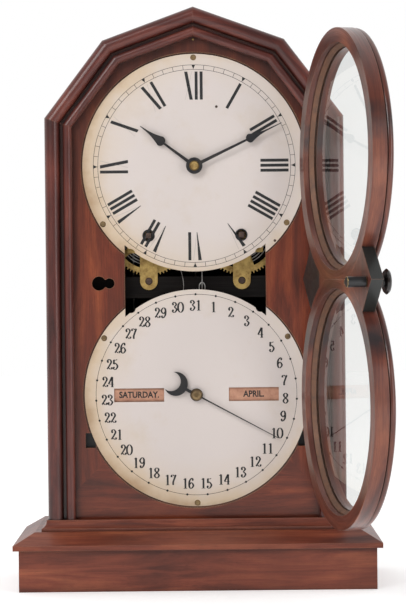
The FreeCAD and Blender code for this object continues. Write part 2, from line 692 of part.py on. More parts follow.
def spiral(x, z, inner, outer, turns, thick, y_front, y_back):
    """A flat coiled spring of half-circle turns, each a little larger than the last."""
    step = (outer - inner) / (2 * turns)
    outlines = []
    for offset in (0.0, thick):
        edges = []
        start = x - inner + offset
        for index in range(2 * turns):
            reach = 2 * (inner + step * (index + 0.5)) - 2 * offset
            sign = 1 if index % 2 == 0 else -1
            end = start + sign * reach
            middle = (start + end) / 2
            edges.append(Part.Arc(Vector(start, y_front, z), Vector(middle, y_front, z + sign * reach / 2),
                                  Vector(end, y_front, z)).toShape())
            start = end
        outlines.append((edges, start))
    (long_edges, long_end), (short_edges, short_end) = outlines
    caps = [Part.makeLine(Vector(x - inner, y_front, z), Vector(x - inner + thick, y_front, z)),
            Part.makeLine(Vector(long_end, y_front, z), Vector(short_end, y_front, z))]
    wire = Part.Wire(Part.__sortEdges__(long_edges + short_edges + caps))
    return Part.Face(wire).extrude(Vector(0, y_back - y_front, 0))


def build_trains():
    """The going train up to the escape wheel, and the striking train up to the fly."""
    inner = SIZE["plate_front"] + SIZE["plate_thick"]
    spans = (SIZE["plate_front"] - 1.0, BACK_FACE + 1.0)
    layers = {1: 4.0, -1: 1.3}
    for side, name in ((1, "time"), (-1, "strike")):
        x, z = SECOND[side]
        partner = CENTRE if side == 1 else STRIKE_THIRD
        second = wheel(x, z, 56, SECOND_WHEEL, layers[side], 1.5, TRAIN_ARBOR - 0.2,
                       toward(SECOND[side], partner), spokes=5)
        pinion = lantern(x, z, 12, SECOND_PINION, 0.55, -17.6, 6.2, TRAIN_ARBOR + 1.0,
                         toward(SECOND[side], GREAT[side]))
        arbor = disc(x, z, TRAIN_ARBOR, *spans)
        keep(name + "_second_wheel", solid(second.fuse([pinion, arbor]).removeSplitter()))

    x, z = CENTRE
    shape = wheel(x, z, 60, CENTRE_WHEEL, 8.2, 1.4, TRAIN_ARBOR - 0.2, toward(CENTRE, THIRD), spokes=4)
    pinion = lantern(x, z, 14, CENTRE_PINION, 0.55, 2.9, 3.8, TRAIN_ARBOR + 1.4, toward(CENTRE, SECOND[1]))
    arbor = disc(x, z, TRAIN_ARBOR, -40.0, BACK_FACE + 1.0)
    keep("centre_wheel", solid(shape.fuse([pinion, arbor]).removeSplitter()))

    x, z = THIRD
    shape = wheel(x, z, 60, THIRD_WHEEL, -4.0, 1.2, FINE_ARBOR - 0.2, toward(THIRD, ESCAPE), spokes=4)
    pinion = lantern(x, z, 6, THIRD_PINION, 0.4, 6.9, 4.2, FINE_ARBOR, toward(THIRD, CENTRE))
    keep("third_wheel", solid(shape.fuse([pinion, disc(x, z, FINE_ARBOR, *spans)]).removeSplitter()))

    x, z = ESCAPE
    saw = tooth_ring(36, 12.4, 14.0, 0.75, 0.12, math.radians(90))
    shape = prism([(x + a, z + b) for a, b in saw], BACK_FACE + 2.0, BACK_FACE + 3.0)
    shape = shape.cut(disc(x, z, 10.8, BACK_FACE + 2.0, BACK_FACE + 3.0).cut(
        disc(x, z, 3.4, BACK_FACE + 2.0, BACK_FACE + 3.0)).cut(
        Part.makeBox(24, 1.0, 2.2, Vector(x - 12, BACK_FACE + 2.0, z - 1.1))))
    pinion = lantern(x, z, 6, ESCAPE_PINION, 0.35, -5.6, 4.4, 0.9, toward(ESCAPE, THIRD))
    arbor = disc(x, z, FINE_ARBOR, spans[0], BACK_FACE + 3.6)
    keep("escape_wheel", solid(shape.fuse([pinion, arbor]).removeSplitter()))

    x, z = STRIKE_THIRD
    shape = wheel(x, z, 42, STRIKE_WHEEL, -8.0, 1.2, FINE_ARBOR - 0.2, toward(STRIKE_THIRD, FLY), spokes=4)
    pinion = lantern(x, z, 7, STRIKE_PINION, 0.5, 0.1, 3.9, FINE_ARBOR, toward(STRIKE_THIRD, SECOND[-1]))
    keep("strike_third_wheel", solid(shape.fuse([pinion, disc(x, z, FINE_ARBOR, *spans)]).removeSplitter()))

    x, z = FLY
    vane = Part.makeBox(20, 6.4, 0.8, Vector(x - 10, -16.6, z - 0.4))
    pinion = lantern(x, z, 6, FLY_PINION, 0.32, -9.4, 4.0, 0.9, toward(FLY, STRIKE_THIRD))
    arbor = disc(x, z, FINE_ARBOR, *spans)
    keep("strike_fly", solid(vane.fuse([pinion, arbor]).removeSplitter()))


def build_motion_work():
    """Cannon pinion, minute wheel with its pinion, and hour wheel, between plate and dial."""
    x, z = CENTRE
    gap = SIZE["running_gap"]
    shape = wheel(x, z, 12, 3.5, -24.4, 2.6, TRAIN_ARBOR, toward(CENTRE, MOTION) + math.pi / 12, fullness=0.36)
    tube = disc(x, z, CANNON_RADIUS, -39.4, -24.4).cut(disc(x, z, TRAIN_ARBOR, -39.4, -24.4))
    keep("cannon_pinion", solid(shape.fuse(tube).removeSplitter()))

    x, z = MOTION
    stud = 1.2
    shape = wheel(x, z, 36, 10.5, -23.8, 1.3, stud + gap, toward(MOTION, CENTRE), fullness=0.36)
    pinion = wheel(x, z, 10, 2.8, -28.0, 4.2, stud + gap, toward(MOTION, CENTRE) + math.pi / 10, fullness=0.36)
    keep("minute_wheel", solid(shape.fuse(pinion).removeSplitter()))

    x, z = CENTRE
    bore = CANNON_RADIUS + gap
    shape = wheel(x, z, 40, 11.2, -27.4, 1.3, bore, toward(CENTRE, MOTION), fullness=0.36)
    pipe = disc(x, z, PIPE_RADIUS, -36.9, -27.4).cut(disc(x, z, bore, -36.9, -27.4))
    keep("hour_wheel", solid(shape.fuse(pipe).removeSplitter()))


def build_escapement():
    x, z = VERGE
    y_front = BACK_FACE + 1.8
    reach = 14.95
    arms = []
    for side in (-1, 1):
        toe = polar(ESCAPE, reach + 0.5, 90 - side * 40)
        root = (x, z)
        direction = Vector(toe[0] - root[0], 0, toe[1] - root[1]).normalize()
        normal = Vector(direction.z, 0, -direction.x) * 0.7
        corners = [(root[0] - normal.x, root[1] - normal.z), (toe[0] - normal.x, toe[1] - normal.z),
                   (toe[0] + normal.x, toe[1] + normal.z), (root[0] + normal.x, root[1] + normal.z)]
        arms.append(prism(corners, y_front, y_front + 1.4))
    shape = disc(x, z, 2.6, y_front, y_front + 1.4).fuse(arms)
    shape = shape.cut(disc(*ESCAPE, reach, y_front, y_front + 1.4))
    staff = disc(x, z, FINE_ARBOR, PLATE_BACK - 3.0, y_front + 4.0)
    wire_y = y_front + 3.0
    wire = disc(x, z, 2.2, wire_y - 0.5, wire_y + 0.5).fuse(
        prism([(-0.8, z - 60), (0.8, z - 60), (0.8, z), (-0.8, z)], wire_y - 0.5, wire_y + 0.5))
    fork_y = SIZE["pendulum_plane"] + 3.0
    for side in (-1, 1):
        prong = Part.makeBox(1.0, fork_y - wire_y, 1.2, Vector(side * 1.6 - 0.5, wire_y, z - 60))
        wire = wire.fuse(prong)
    bridge = Part.makeBox(4.2, 1.0, 1.2, Vector(-2.1, wire_y - 0.5, z - 60))
    keep("verge_and_crutch", solid(shape.fuse([staff, wire, bridge]).removeSplitter()))


def build_pendulum():
    plane, pivot = SIZE["pendulum_plane"], SIZE["pivot_level"]
    post = box(-3, "plate_front + 2 * plate_thick + plate_gap", "pivot_level - 2.5", 6,
               "pendulum_plane - plate_front - 2 * plate_thick - plate_gap + 2", 7.5)
    slot = box(-4, "pendulum_plane - 0.6", "pivot_level - 3", 8, 1.2, 5)
    bore = rod(0, "pendulum_plane - 3", "pivot_level", "0.8 + running_gap", 6, FRONT_TO_BACK)
    keep("suspension_post", cut(post, slot, bore))
    pin = rod(0, "pendulum_plane - 2", "pivot_level", 0.8, 4, FRONT_TO_BACK)
    strip = box(-1.5, "pendulum_plane - 0.15", "pivot_level - 14", 3, 0.3, 14.6)
    clasp = box(-2.2, "pendulum_plane - 0.9", "pivot_level - 17", 4.4, 1.8, 4)
    wire = rod(0, "pendulum_plane", "bob_level - bob_radius - 16", 0.9,
               "pivot_level - 17 - bob_level + bob_radius + 16", UPRIGHT)
    keep("pendulum_rod", group(join(strip, clasp, pin), wire))
    profile = [(0, 7), (8, 7), (20, 4.6), (28, 2.2), (30, 0), (28, -2.2), (20, -4.6), (8, -7), (0, -7)]
    bob = turned("bob_turning", profile, 0, "pendulum_plane", "bob_level", FRONT_TO_BACK)
    bob = cut(bob, rod(0, "pendulum_plane", "bob_level - bob_radius - 2", 0.9, 70, UPRIGHT))
    nut = rod(0, "pendulum_plane", "bob_level - bob_radius - 6", 3.6, 5, UPRIGHT)
    nut = cut(nut, rod(0, "pendulum_plane", "bob_level - bob_radius - 7", 0.9, 8, UPRIGHT))
    keep("pendulum_bob", group(bob, nut))


def build_striking():
    x, z = HAMMER
    wire_y = BACK_FACE + 32.5
    drop = 218.0
    arbor = disc(x, z, FINE_ARBOR, SIZE["plate_front"] - 1.0, wire_y)
    boss = disc(x, z, 2.8, wire_y - 0.8, wire_y + 0.8)
    shank = Part.makeCylinder(0.9, drop, Vector(x, wire_y, z - drop), Vector(0, 0, 1))
    tail = Part.makeBox(12, 1.0, 2, Vector(x - 1, -3.0, z - 1))
    head = rod(x - 7, wire_y, z - drop - 5.0, 5.0, 14, LEFT_TO_RIGHT)
    keep("strike_hammer", group(solid(arbor.fuse([boss, shank, tail]).removeSplitter()), head))

    gong_x, gong_z, gong_y = -13.0, 122.0, 50.0
    turns, inner, outer = 4, 12.0, 33.0
    coil = solid(spiral(gong_x, gong_z, inner, outer, turns, 1.6, gong_y - 1.0, gong_y + 1.0))
    stem = rod(gong_x - inner + 0.8, gong_y - 5, gong_z, 3.0, SIZE["case_back"] - 10 - gong_y + 5)
    block = cut(stem, box(gong_x - inner - 0.2, gong_y - 1.2, gong_z - 3.2, 2.1, 2.4, 6.4))
    keep("gong", group(coil, block))


# ---- calendar --------------------------------------------------------------------------------

def build_calendar():
    level = SIZE["lower_level"]
    drum_front = SIZE["panel_front"] + SIZE["rabbet_depth"] + 0.5
    half = SIZE["window_wide"] / 2 + 1.0
    bar_y, thick, cheek = 16.0, 1.5, 2.0
    radii = {-1: 13.4, 1: 22.9}
    gap = SIZE["running_gap"]
    panel_back = SIZE["panel_front"] + SIZE["panel_thick"]

    shape = prism([(-80, level - 9), (80, level - 9), (80, level + 9), (-80, level + 9)], bar_y, bar_y + thick)
    extras = []
    for side in (-1, 1):
        x = side * 66
        extras.append(prism([(x - 4, level - 70), (x + 4, level - 70), (x + 4, level + 70),
                             (x - 4, level + 70)], bar_y, bar_y + thick))
        for end in (-66, 66):
            extras.append(disc(x, level + end, 3.0, panel_back, bar_y))
        axis_y = drum_front + radii[side]
        for middle in (side * SIZE["window_side"] - half - 2, side * SIZE["window_side"] + half + 2):
            ear = Part.makeBox(cheek, bar_y - axis_y + 5, 10, Vector(middle - cheek / 2, axis_y - 5, level - 5))
            hole = Part.makeCylinder(1.5 + gap, cheek, Vector(middle - cheek / 2, axis_y, level), Vector(1, 0, 0))
            extras.append(ear.cut(hole))
    bridge = Part.makeBox(8, 1.5, 60, Vector(-4, -20.0, level - 30))
    for end in (-27, 27):
        extras.append(disc(0, level + end, 2.5, -18.5, bar_y))
    spine = prism([(-5, level - 32), (5, level - 32), (5, level + 32), (-5, level + 32)], bar_y, bar_y + thick)
    shape = shape.fuse(extras + [bridge, spine]).removeSplitter()
    shape = shape.cut(disc(0, level, 1.7 + gap, -21, bar_y + thick))
    frame = solid(shape)

    for side, node in ((-1, "day_drum"), (1, "month_drum")):
        radius = radii[side]
        axis_y = drum_front + radius
        x = side * SIZE["window_side"] - half
        drum = Part.makeCylinder(radius, 2 * half, Vector(x, axis_y, level), Vector(1, 0, 0))
        drum = drum.cut(Part.makeCylinder(radius - 1.2, 2 * half - 2.4, Vector(x + 1.2, axis_y, level),
                                          Vector(1, 0, 0)))
        pin = Part.makeCylinder(1.5, 2 * half + 7, Vector(x - 3.5, axis_y, level), Vector(1, 0, 0))
        keep(node, solid(drum.fuse(pin).removeSplitter()))

    saw = tooth_ring(31, 18.4, 20.6, 1.5, 0.3, 0.0)
    shape = prism([(a, level + b) for a, b in saw], -24.6, -23.2)
    shape = shape.fuse(disc(0, level, 1.7, -36.9, bar_y + thick + 1.0))
    collet = cut(cone(0, -39.4, "lower_level", 3.9, 5.2, 2.5), rod(0, -39.4, "lower_level", 1.8, 2.5))
    keep("date_wheel", group(solid(shape.removeSplitter()), collet))

    pivot = (-13.0, level + 46.0)
    stand = disc(*pivot, 1.5, -29.5, bar_y)
    stand = solid(stand.fuse(disc(*pivot, 4, bar_y, bar_y + thick)).removeSplitter())
    arm = prism([(pivot[0] - 3, pivot[1] - 2.4), (9.0, pivot[1] - 1.6), (9.0, pivot[1] + 1.6),
                 (pivot[0] - 3, pivot[1] + 2.4)], -28.6, -27.4)
    pawl = prism([(pivot[0] - 2.0, pivot[1]), (pivot[0] - 2.0, pivot[1] - 20.0), (pivot[0], pivot[1] - 22.0),
                  (pivot[0] + 2.0, pivot[1])], -28.6, -27.4)
    lever = disc(*pivot, 3.6, -28.6, -26.6).fuse([arm, pawl]).cut(disc(*pivot, 1.5 + gap, -28.6, -26.6))
    keep("trip_lever", solid(lever.removeSplitter()))

    top = SIZE["upper_level"] - 82.0
    wire = Part.makeCylinder(0.45, top - pivot[1] - 3.4, Vector(5.9, -25.4, pivot[1] + 3.4), Vector(0, 0, 1))
    keep("lift_wire", solid(wire))

    lugs = []
    for side in (-1, 1):
        x = side * 93.5
        lugs.append(box(x - 8, "panel_front + panel_thick", "lower_level - 50", 16, 1.5, 21))
    keep("calendar_frame", group(frame, stand, *lugs))


# ---- door, drawn closed and then swung open about the hinge pin ------------------------------

def build_door():
    face = "door_inner"
    outer_face = "door_inner - door_thick"
    bead, quirk = 6.0, 0.4
    glasses, hoops = [], []
    for name, level, below in (("upper", "upper_level", True), ("lower", "lower_level", False)):
        rim = rod(0, outer_face + " + %s" % bead, level, "ring_outer", "door_thick - %s" % bead)
        core = rod(0, outer_face, level, "ring_outer - %s" % (bead / 2), bead)
        round_front = doc.addObject("Part::Torus", "rim_bead")
        bind(round_front, {"Radius1": "ring_outer - %s" % (bead / 2 + quirk), "Radius2": bead / 2})
        place(round_front, 0, outer_face + " + %s" % (bead / 2), level, FRONT_TO_BACK)
        sight = rod(0, outer_face, level, "ring_sight", "door_thick")
        rabbet = rod(0, face + " - rabbet_wall", level, "ring_inner", "rabbet_wall")
        start = "upper_level / 2 + lower_level / 2"
        if below:
            start += " - 20"
        half_space = box(-60, outer_face, start, 120, "door_thick", 20)
        keep("door_%s_ring" % name, group(cut(join(rim, core, round_front), sight, rabbet, half_space)), DOOR_OPEN)
        glasses.append(rod(0, face + " - rabbet_wall", level, "ring_inner - 0.4", "glass_thick"))
        hoop = cone(0, face + " - rabbet_wall + glass_thick", level, "ring_inner - 0.2", "ring_inner - 0.2", 3.5)
        well = cone(0, face + " - rabbet_wall + glass_thick", level, "ring_sight + 0.2", "ring_inner - 1.0", 3.5)
        hoops.append(cut(hoop, well))
    keep("door_glass", group(*glasses), DOOR_OPEN)
    keep("door_glass_beads", group(*hoops), DOOR_OPEN)

    corner, rise, tip, thick = (SIZE[key] for key in ("beak_corner", "beak_rise", "beak_tip", "beak_thick"))
    back = SIZE["door_inner"]
    front = back - thick
    inner_edge, metal_edge = 25.0, 47.0

    def wedge(first, sign, last):
        points = [(first, -rise), (last, -rise), (last, rise), (first, rise)]
        if last > corner:
            points = [(first, -rise), (corner, -rise), (tip, 0), (corner, rise), (first, rise)]
        shape = prism([(sign * x, WAIST + z) for x, z in points], front, back)
        for level in (SIZE["upper_level"], SIZE["lower_level"]):
            shape = shape.cut(disc(0, level, SIZE["ring_outer"], front, back))
        return shape

    latch_level = WAIST - SIZE["latch_drop"]
    spindle = 3.0
    beak = wedge(inner_edge, -1, tip).cut(
        disc(-SIZE["latch_side"], latch_level, spindle + SIZE["running_gap"], front, back))
    keep("door_waist_blocks", group(solid(beak), solid(wedge(inner_edge, 1, metal_edge))), DOOR_OPEN)
    keep("door_hinge_plate", solid(wedge(metal_edge, 1, tip)), DOOR_OPEN)

    hinge_y = SIZE["hinge_front"]
    hinge_x, pin = SIZE["hinge_side"], SIZE["hinge_pin_radius"]
    knuckle, reach, part = 3.2, 12.0, 4.0
    leaf = Part.makeBox(25, 1.5, 2 * reach, Vector(78, front - 1.5, WAIST - reach))
    web = Part.makeBox(2.0, front - hinge_y, 2 * reach, Vector(101.0, hinge_y - 1.0, WAIST - reach))
    cross = Part.makeBox(6.0, 1.8, 2 * reach, Vector(101.0, hinge_y - 0.9, WAIST - reach))
    barrel = Part.makeCylinder(knuckle, 2 * reach, Vector(hinge_x, hinge_y, WAIST - reach))
    shape = leaf.fuse([web, cross, barrel])
    shape = shape.cut(Part.makeCylinder(knuckle + 0.4, 2 * part, Vector(hinge_x, hinge_y, WAIST - part)))
    shape = shape.cut(Part.makeCylinder(pin + SIZE["running_gap"], 2 * reach,
                                        Vector(hinge_x, hinge_y, WAIST - reach)))
    keep("hinge_leaf_door", solid(shape.removeSplitter()), DOOR_OPEN)

    crown = SIZE["panel_front"] - SIZE["moulding_depth"]
    low = part - 0.3
    shape = Part.makeCylinder(knuckle, 2 * low, Vector(hinge_x, hinge_y, WAIST - low))
    arm = Part.makeBox(2.4, crown - hinge_y, 2 * low, Vector(hinge_x - 0.4, hinge_y, WAIST - low))
    flap = Part.makeBox(17.4, 1.4, 26, Vector(hinge_x + 0.6, crown - 1.4, WAIST - 13))
    shape = shape.fuse([arm, flap]).cut(Part.makeCylinder(pin, 30, Vector(hinge_x, hinge_y, WAIST - 15)))
    keep("hinge_pin", rod("hinge_side", "hinge_front", WAIST - 13, "hinge_pin_radius", 26, UPRIGHT))
    screws = [rod(hinge_x + 11, crown - 2.0, WAIST + rise_at, 1.6, 0.6) for rise_at in (-8.5, 8.5)]
    keep("hinge_leaf_case", group(solid(shape.removeSplitter()), *screws))

    gap = 0.3
    barrel = disc(-SIZE["latch_side"], latch_level, spindle, front - gap, back + gap)
    barrel = barrel.fuse(disc(-SIZE["latch_side"], latch_level, SIZE["latch_radius"], back + gap,
                              back + SIZE["latch_length"]))
    tongue = Part.makeBox(10.0, 2.0, 4.0, Vector(-SIZE["latch_side"], back + SIZE["latch_length"] - 3.0,
                                                latch_level - 2.0))
    keep("latch_barrel", solid(barrel.fuse(tongue).removeSplitter()), DOOR_OPEN)
    radius, length = SIZE["knob_radius"], SIZE["knob_length"]
    profile = [(0, 0), ("knob_radius * 0.62", 0), ("knob_radius * 0.42", "knob_length * 0.22"),
               ("knob_radius * 0.42", "knob_length * 0.40"), ("knob_radius * 0.86", "knob_length * 0.52"),
               ("knob_radius", "knob_length * 0.70"), ("knob_radius * 0.90", "knob_length * 0.88"),
               ("knob_radius * 0.45", "knob_length"), (0, "knob_length")]
    toward_front = Rotation(Vector(1, 0, 0), 90)
    knob = turned("latch_knob_turning", profile, "-latch_side", front - gap, latch_level, toward_front)
    keep("latch_knob", group(knob), DOOR_OPEN)


# ---- make and write --------------------------------------------------------------------------

def write_parts():
    doc.recompute()
    for item in doc.Objects:
        bad = [state for state in item.State if state in ("Invalid", "Error")]
        if bad:
            raise RuntimeError("%s (%s) is %s" % (item.Name, item.Label, bad))
    os.makedirs("parts", exist_ok=True)
    for item in sub_parts:
        shape = item.Shape
        if shape.isNull() or not shape.isValid() or not shape.Solids:
            raise RuntimeError("%s has no valid solid" % item.Label)
        shape.exportStep("parts/%s.step" % item.Label)
        print("%-24s %2d solid(s) %12.1f mm3" % (item.Label, len(shape.Solids), shape.Volume))


for build in (build_base, build_carcass, build_panels, build_dials, build_hands, build_plates,
              build_winding, build_trains, build_motion_work, build_escapement, build_pendulum,
              build_striking, build_calendar, build_door):
    build()
write_parts()
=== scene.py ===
import math

import bmesh
import bpy
from mathutils import Matrix, Vector


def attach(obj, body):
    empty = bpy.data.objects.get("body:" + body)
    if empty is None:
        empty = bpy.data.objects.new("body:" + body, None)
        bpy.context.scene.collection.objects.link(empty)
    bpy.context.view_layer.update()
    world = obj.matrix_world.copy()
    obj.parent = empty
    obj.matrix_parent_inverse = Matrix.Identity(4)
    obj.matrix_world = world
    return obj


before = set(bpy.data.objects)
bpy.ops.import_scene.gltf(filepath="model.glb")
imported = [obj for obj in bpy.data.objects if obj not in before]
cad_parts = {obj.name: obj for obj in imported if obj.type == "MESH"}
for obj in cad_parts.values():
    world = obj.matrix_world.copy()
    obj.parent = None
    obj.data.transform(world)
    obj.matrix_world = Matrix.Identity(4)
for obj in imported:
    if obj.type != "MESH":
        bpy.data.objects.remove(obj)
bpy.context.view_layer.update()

MM = 0.001
UPPER, LOWER = 368.9, 167.7            # levels of the two dial centres, mm
DIAL_FACE = -33.2                      # y of the painted faces, mm
INK = 0.06                             # thickness of painted marks, mm
INK_LINE = 0.36                        # width of the circles printed on the dials, mm
PANEL_HALF, PANEL_FOOT = 131.0, 59.8   # half width and lower level of the front panel, mm
PANEL_FRONT = -34.0
SEAM_TOP = 120.0                       # the veneer's mitred seams end at this level, mm
DOOR_TURN = math.radians(102.9)        # the door stands open at rest
HINGE = (107.0, -51.2)                 # the closed rings' centres are as far from it as it is from x = 0
DOOR_HALF_THICK = 9.0
DOOR_GRAIN_RADIUS, TOP_GRAIN_RADIUS = 99.0, 120.0
WINDOW_SIDE = 50.5                     # from the middle to each calendar window, mm


# ---- shader helpers --------------------------------------------------------------------------

class Shade:
    """One material, with short ways to add and join nodes."""

    def __init__(self, name, **values):
        self.material = bpy.data.materials.new(name)
        self.material.use_nodes = True
        self.tree = self.material.node_tree
        self.bsdf = self.tree.nodes["Principled BSDF"]
        self.set(self.bsdf, values)
        self.coordinates = self.add("ShaderNodeTexCoord").outputs["Object"]

    def set(self, node, values):
        for key, value in values.items():
            socket = node.inputs[key]
            if isinstance(value, bpy.types.NodeSocket):
                self.tree.links.new(value, socket)
            elif isinstance(value, tuple) and socket.type == "RGBA":
                socket.default_value = (*value, 1.0)
            else:
                socket.default_value = value

    def add(self, kind, values=None, **settings):
        node = self.tree.nodes.new(kind)
        for key, value in settings.items():
            setattr(node, key, value)
        self.set(node, values or {})
        return node

    def math(self, operation, first, second=0.0, clamp=False):
        node = self.add("ShaderNodeMath", {0: first, 1: second}, operation=operation)
        node.use_clamp = clamp
        return node.outputs[0]

    def split(self, vector=None):
        node = self.add("ShaderNodeSeparateXYZ", {0: vector or self.coordinates})
        return node.outputs[0], node.outputs[1], node.outputs[2]

    def vector(self, x, y, z):
        return self.add("ShaderNodeCombineXYZ", {0: x, 1: y, 2: z}).outputs[0]

    def noise(self, vector, scale=1.0, detail=3.0, rough=0.5, distortion=0.0):
        return self.add("ShaderNodeTexNoise", {"Vector": vector, "Scale": scale, "Detail": detail,
                                               "Roughness": rough, "Distortion": distortion}).outputs[0]

    def ramp(self, factor, *stops):
        node = self.add("ShaderNodeValToRGB", {"Fac": factor})
        band = node.color_ramp
        while len(band.elements) < len(stops):
            band.elements.new(0.5)
        for element, (at, colour) in zip(band.elements, stops):
            element.position = at
            element.color = (*colour, 1.0)
        return node.outputs[0]

    def level(self, value, low, high, out_low=0.0, out_high=1.0):
        node = self.add("ShaderNodeMapRange", {0: value, 1: low, 2: high, 3: out_low, 4: out_high})
        return node.outputs[0]

    def mix(self, factor, first, second):
        return self.add("ShaderNodeMix", {0: factor, 6: first, 7: second}, data_type="RGBA").outputs[2]

    def millimetres(self):
        node = self.add("ShaderNodeVectorMath", {0: self.coordinates, 1: (1000.0,) * 3},
                        operation="MULTIPLY")
        return node.outputs[0]

    def bump(self, height, distance, strength=1.0, normal=None):
        values = {"Height": height, "Distance": distance, "Strength": strength}
        if normal is not None:
            values["Normal"] = normal
        self.set(self.bsdf, {"Normal": self.add("ShaderNodeBump", values).outputs[0]})

    def edge(self, radius, samples):
        """A normal rounded at the edges, and how closely it agrees with the flat one."""
        rounded = self.add("ShaderNodeBevel", {"Radius": radius}, samples=samples).outputs[0]
        flat = self.add("ShaderNodeNewGeometry").outputs["Normal"]
        return rounded, self.dot(rounded, flat)

    def dot(self, first, second):
        node = self.add("ShaderNodeVectorMath", {0: first, 1: second}, operation="DOT_PRODUCT")
        return node.outputs["Value"]

    def distance(self, a, b):
        return self.math("SQRT", self.math("ADD", self.math("MULTIPLY", a, a), self.math("MULTIPLY", b, b)))


def along_axis(shade, axis):
    x, y, z = shade.split(shade.millimetres())
    return {"x": (x, y, z), "y": (y, x, z), "z": (z, x, y)}[axis]


def around_dial(shade):
    """Grain that runs round the peaked top, from board to board."""
    x, y, z = shade.split(shade.millimetres())
    up = shade.math("SUBTRACT", z, UPPER)
    turn = shade.math("MULTIPLY", shade.math("ARCTAN2", x, up), TOP_GRAIN_RADIUS)
    return turn, shade.distance(x, up), y


def around_door(shade, level):
    """Grain that follows one ring of the open door."""
    x, y, z = shade.split(shade.millimetres())
    cos, sin = math.cos(DOOR_TURN), math.sin(DOOR_TURN)
    centre = (HINGE[0] - HINGE[0] * cos + DOOR_HALF_THICK * sin,
              HINGE[1] - HINGE[0] * sin - DOOR_HALF_THICK * cos)
    side = shade.math("ADD", shade.math("MULTIPLY", shade.math("SUBTRACT", x, centre[0]), cos),
                      shade.math("MULTIPLY", shade.math("SUBTRACT", y, centre[1]), sin))
    deep = shade.math("SUBTRACT", shade.math("MULTIPLY", shade.math("SUBTRACT", y, centre[1]), cos),
                      shade.math("MULTIPLY", shade.math("SUBTRACT", x, centre[0]), sin))
    up = shade.math("SUBTRACT", z, level)
    turn = shade.math("MULTIPLY", shade.math("ARCTAN2", side, up), DOOR_GRAIN_RADIUS)
    return turn, shade.distance(side, up), deep


def mitred_panel(shade):
    """Upright veneer at the sides and a level strip at the foot, meeting on 45 degree seams."""
    x, y, z = shade.split(shade.millimetres())
    from_side = shade.math("SUBTRACT", PANEL_HALF, shade.math("ABSOLUTE", x))
    from_foot = shade.math("SUBTRACT", z, PANEL_FOOT)
    level = shade.math("LESS_THAN", from_foot, from_side)
    low = shade.math("LESS_THAN", z, SEAM_TOP)
    flat = shade.math("MULTIPLY", level, low)
    swap = shade.add("ShaderNodeMix", {0: flat, 4: shade.vector(z, x, y), 5: shade.vector(x, z, y)},
                     data_type="VECTOR")
    return shade.split(swap.outputs[1])


def wood(name, grain, dark, middle, light, rough=0.38, coat=0.35, worn=(0.36, 0.17, 0.10), wear=0.6,
         tint=None):
    """Old varnished wood: figure, fibre and pores along the grain, painted shade in corners, rubbed edges.
    """
    shade = Shade(name, **{"Coat Weight": coat, "Coat Roughness": 0.2, "Specular IOR Level": 0.28})
    along, across, deep = grain(shade)
    m = shade.math

    def stretched(a, b):
        return shade.vector(m("MULTIPLY", along, a), m("MULTIPLY", across, b), m("MULTIPLY", deep, b))

    figure = shade.noise(stretched(0.009, 0.075), detail=4, rough=0.55, distortion=0.8)
    fibre = shade.noise(stretched(0.03, 1.3), detail=3, rough=0.6)
    pores = shade.noise(stretched(0.16, 3.4), detail=2, rough=0.5)
    patches = shade.noise(shade.millimetres(), scale=0.018, detail=3, rough=0.6)
    colour = shade.ramp(figure, (0.28, dark), (0.5, middle), (0.74, light))
    colour = shade.mix(shade.level(fibre, 0.35, 0.7, 0.0, 0.38), colour, dark)
    colour = shade.mix(shade.level(pores, 0.58, 0.72, 0.0, 0.55), colour, tuple(c * 0.35 for c in dark))
    colour = shade.mix(shade.level(patches, 0.35, 0.68, 0.0, 0.45), colour, tuple(c * 0.5 for c in middle))
    if tint is not None:
        colour = shade.mix(tint[0](shade), colour, tint[1])
    # painted shade: the colour darkens in corners and grooves where the surface is shut in
    painted_corner_shade = shade.add("ShaderNodeAmbientOcclusion", {"Distance": 0.009}, samples=6).outputs["AO"]
    colour = shade.mix(shade.level(painted_corner_shade, 0.35, 0.85, 0.75, 0.0), colour, tuple(c * 0.25 for c in dark))
    rounded, meeting = shade.edge(0.0009, 4)
    rubbed = m("MULTIPLY", shade.level(meeting, 0.995, 0.86),
               shade.level(patches, 0.3, 0.6, wear, wear * 0.35))
    shade.set(shade.bsdf, {"Base Color": shade.mix(rubbed, colour, worn),
                           "Roughness": shade.level(fibre, 0.3, 0.7, rough, rough + 0.16)})
    shade.bump(m("ADD", m("MULTIPLY", fibre, 0.6), m("MULTIPLY", pores, -0.5)), 0.00012, 0.5, rounded)
    return shade.material


def metal(name, colour, rough, mottled, metallic=1.0):
    """Metal or lacquer, clouded with a second colour."""
    shade = Shade(name, Metallic=metallic)
    spots = shade.noise(shade.millimetres(), scale=0.16, detail=5, rough=0.62)
    fine = shade.noise(shade.millimetres(), scale=1.6, detail=2)
    shade.set(shade.bsdf, {"Base Color": shade.mix(shade.level(spots, 0.4, 0.7), colour, mottled),
                           "Roughness": shade.level(spots, 0.3, 0.7, rough, rough + 0.22)})
    shade.bump(shade.math("ADD", spots, shade.math("MULTIPLY", fine, 0.3)), 0.00008, 0.35)
    return shade.material


def edged(name, body, rim):
    """Black lacquer rubbed through to brass along the edges."""
    shade = Shade(name, Roughness=0.3)
    rounded, meeting = shade.edge(0.0008, 6)
    worn = shade.level(meeting, 0.99, 0.9)
    shade.set(shade.bsdf, {"Base Color": shade.mix(worn, body, rim), "Metallic": worn, "Normal": rounded})
    return shade.material


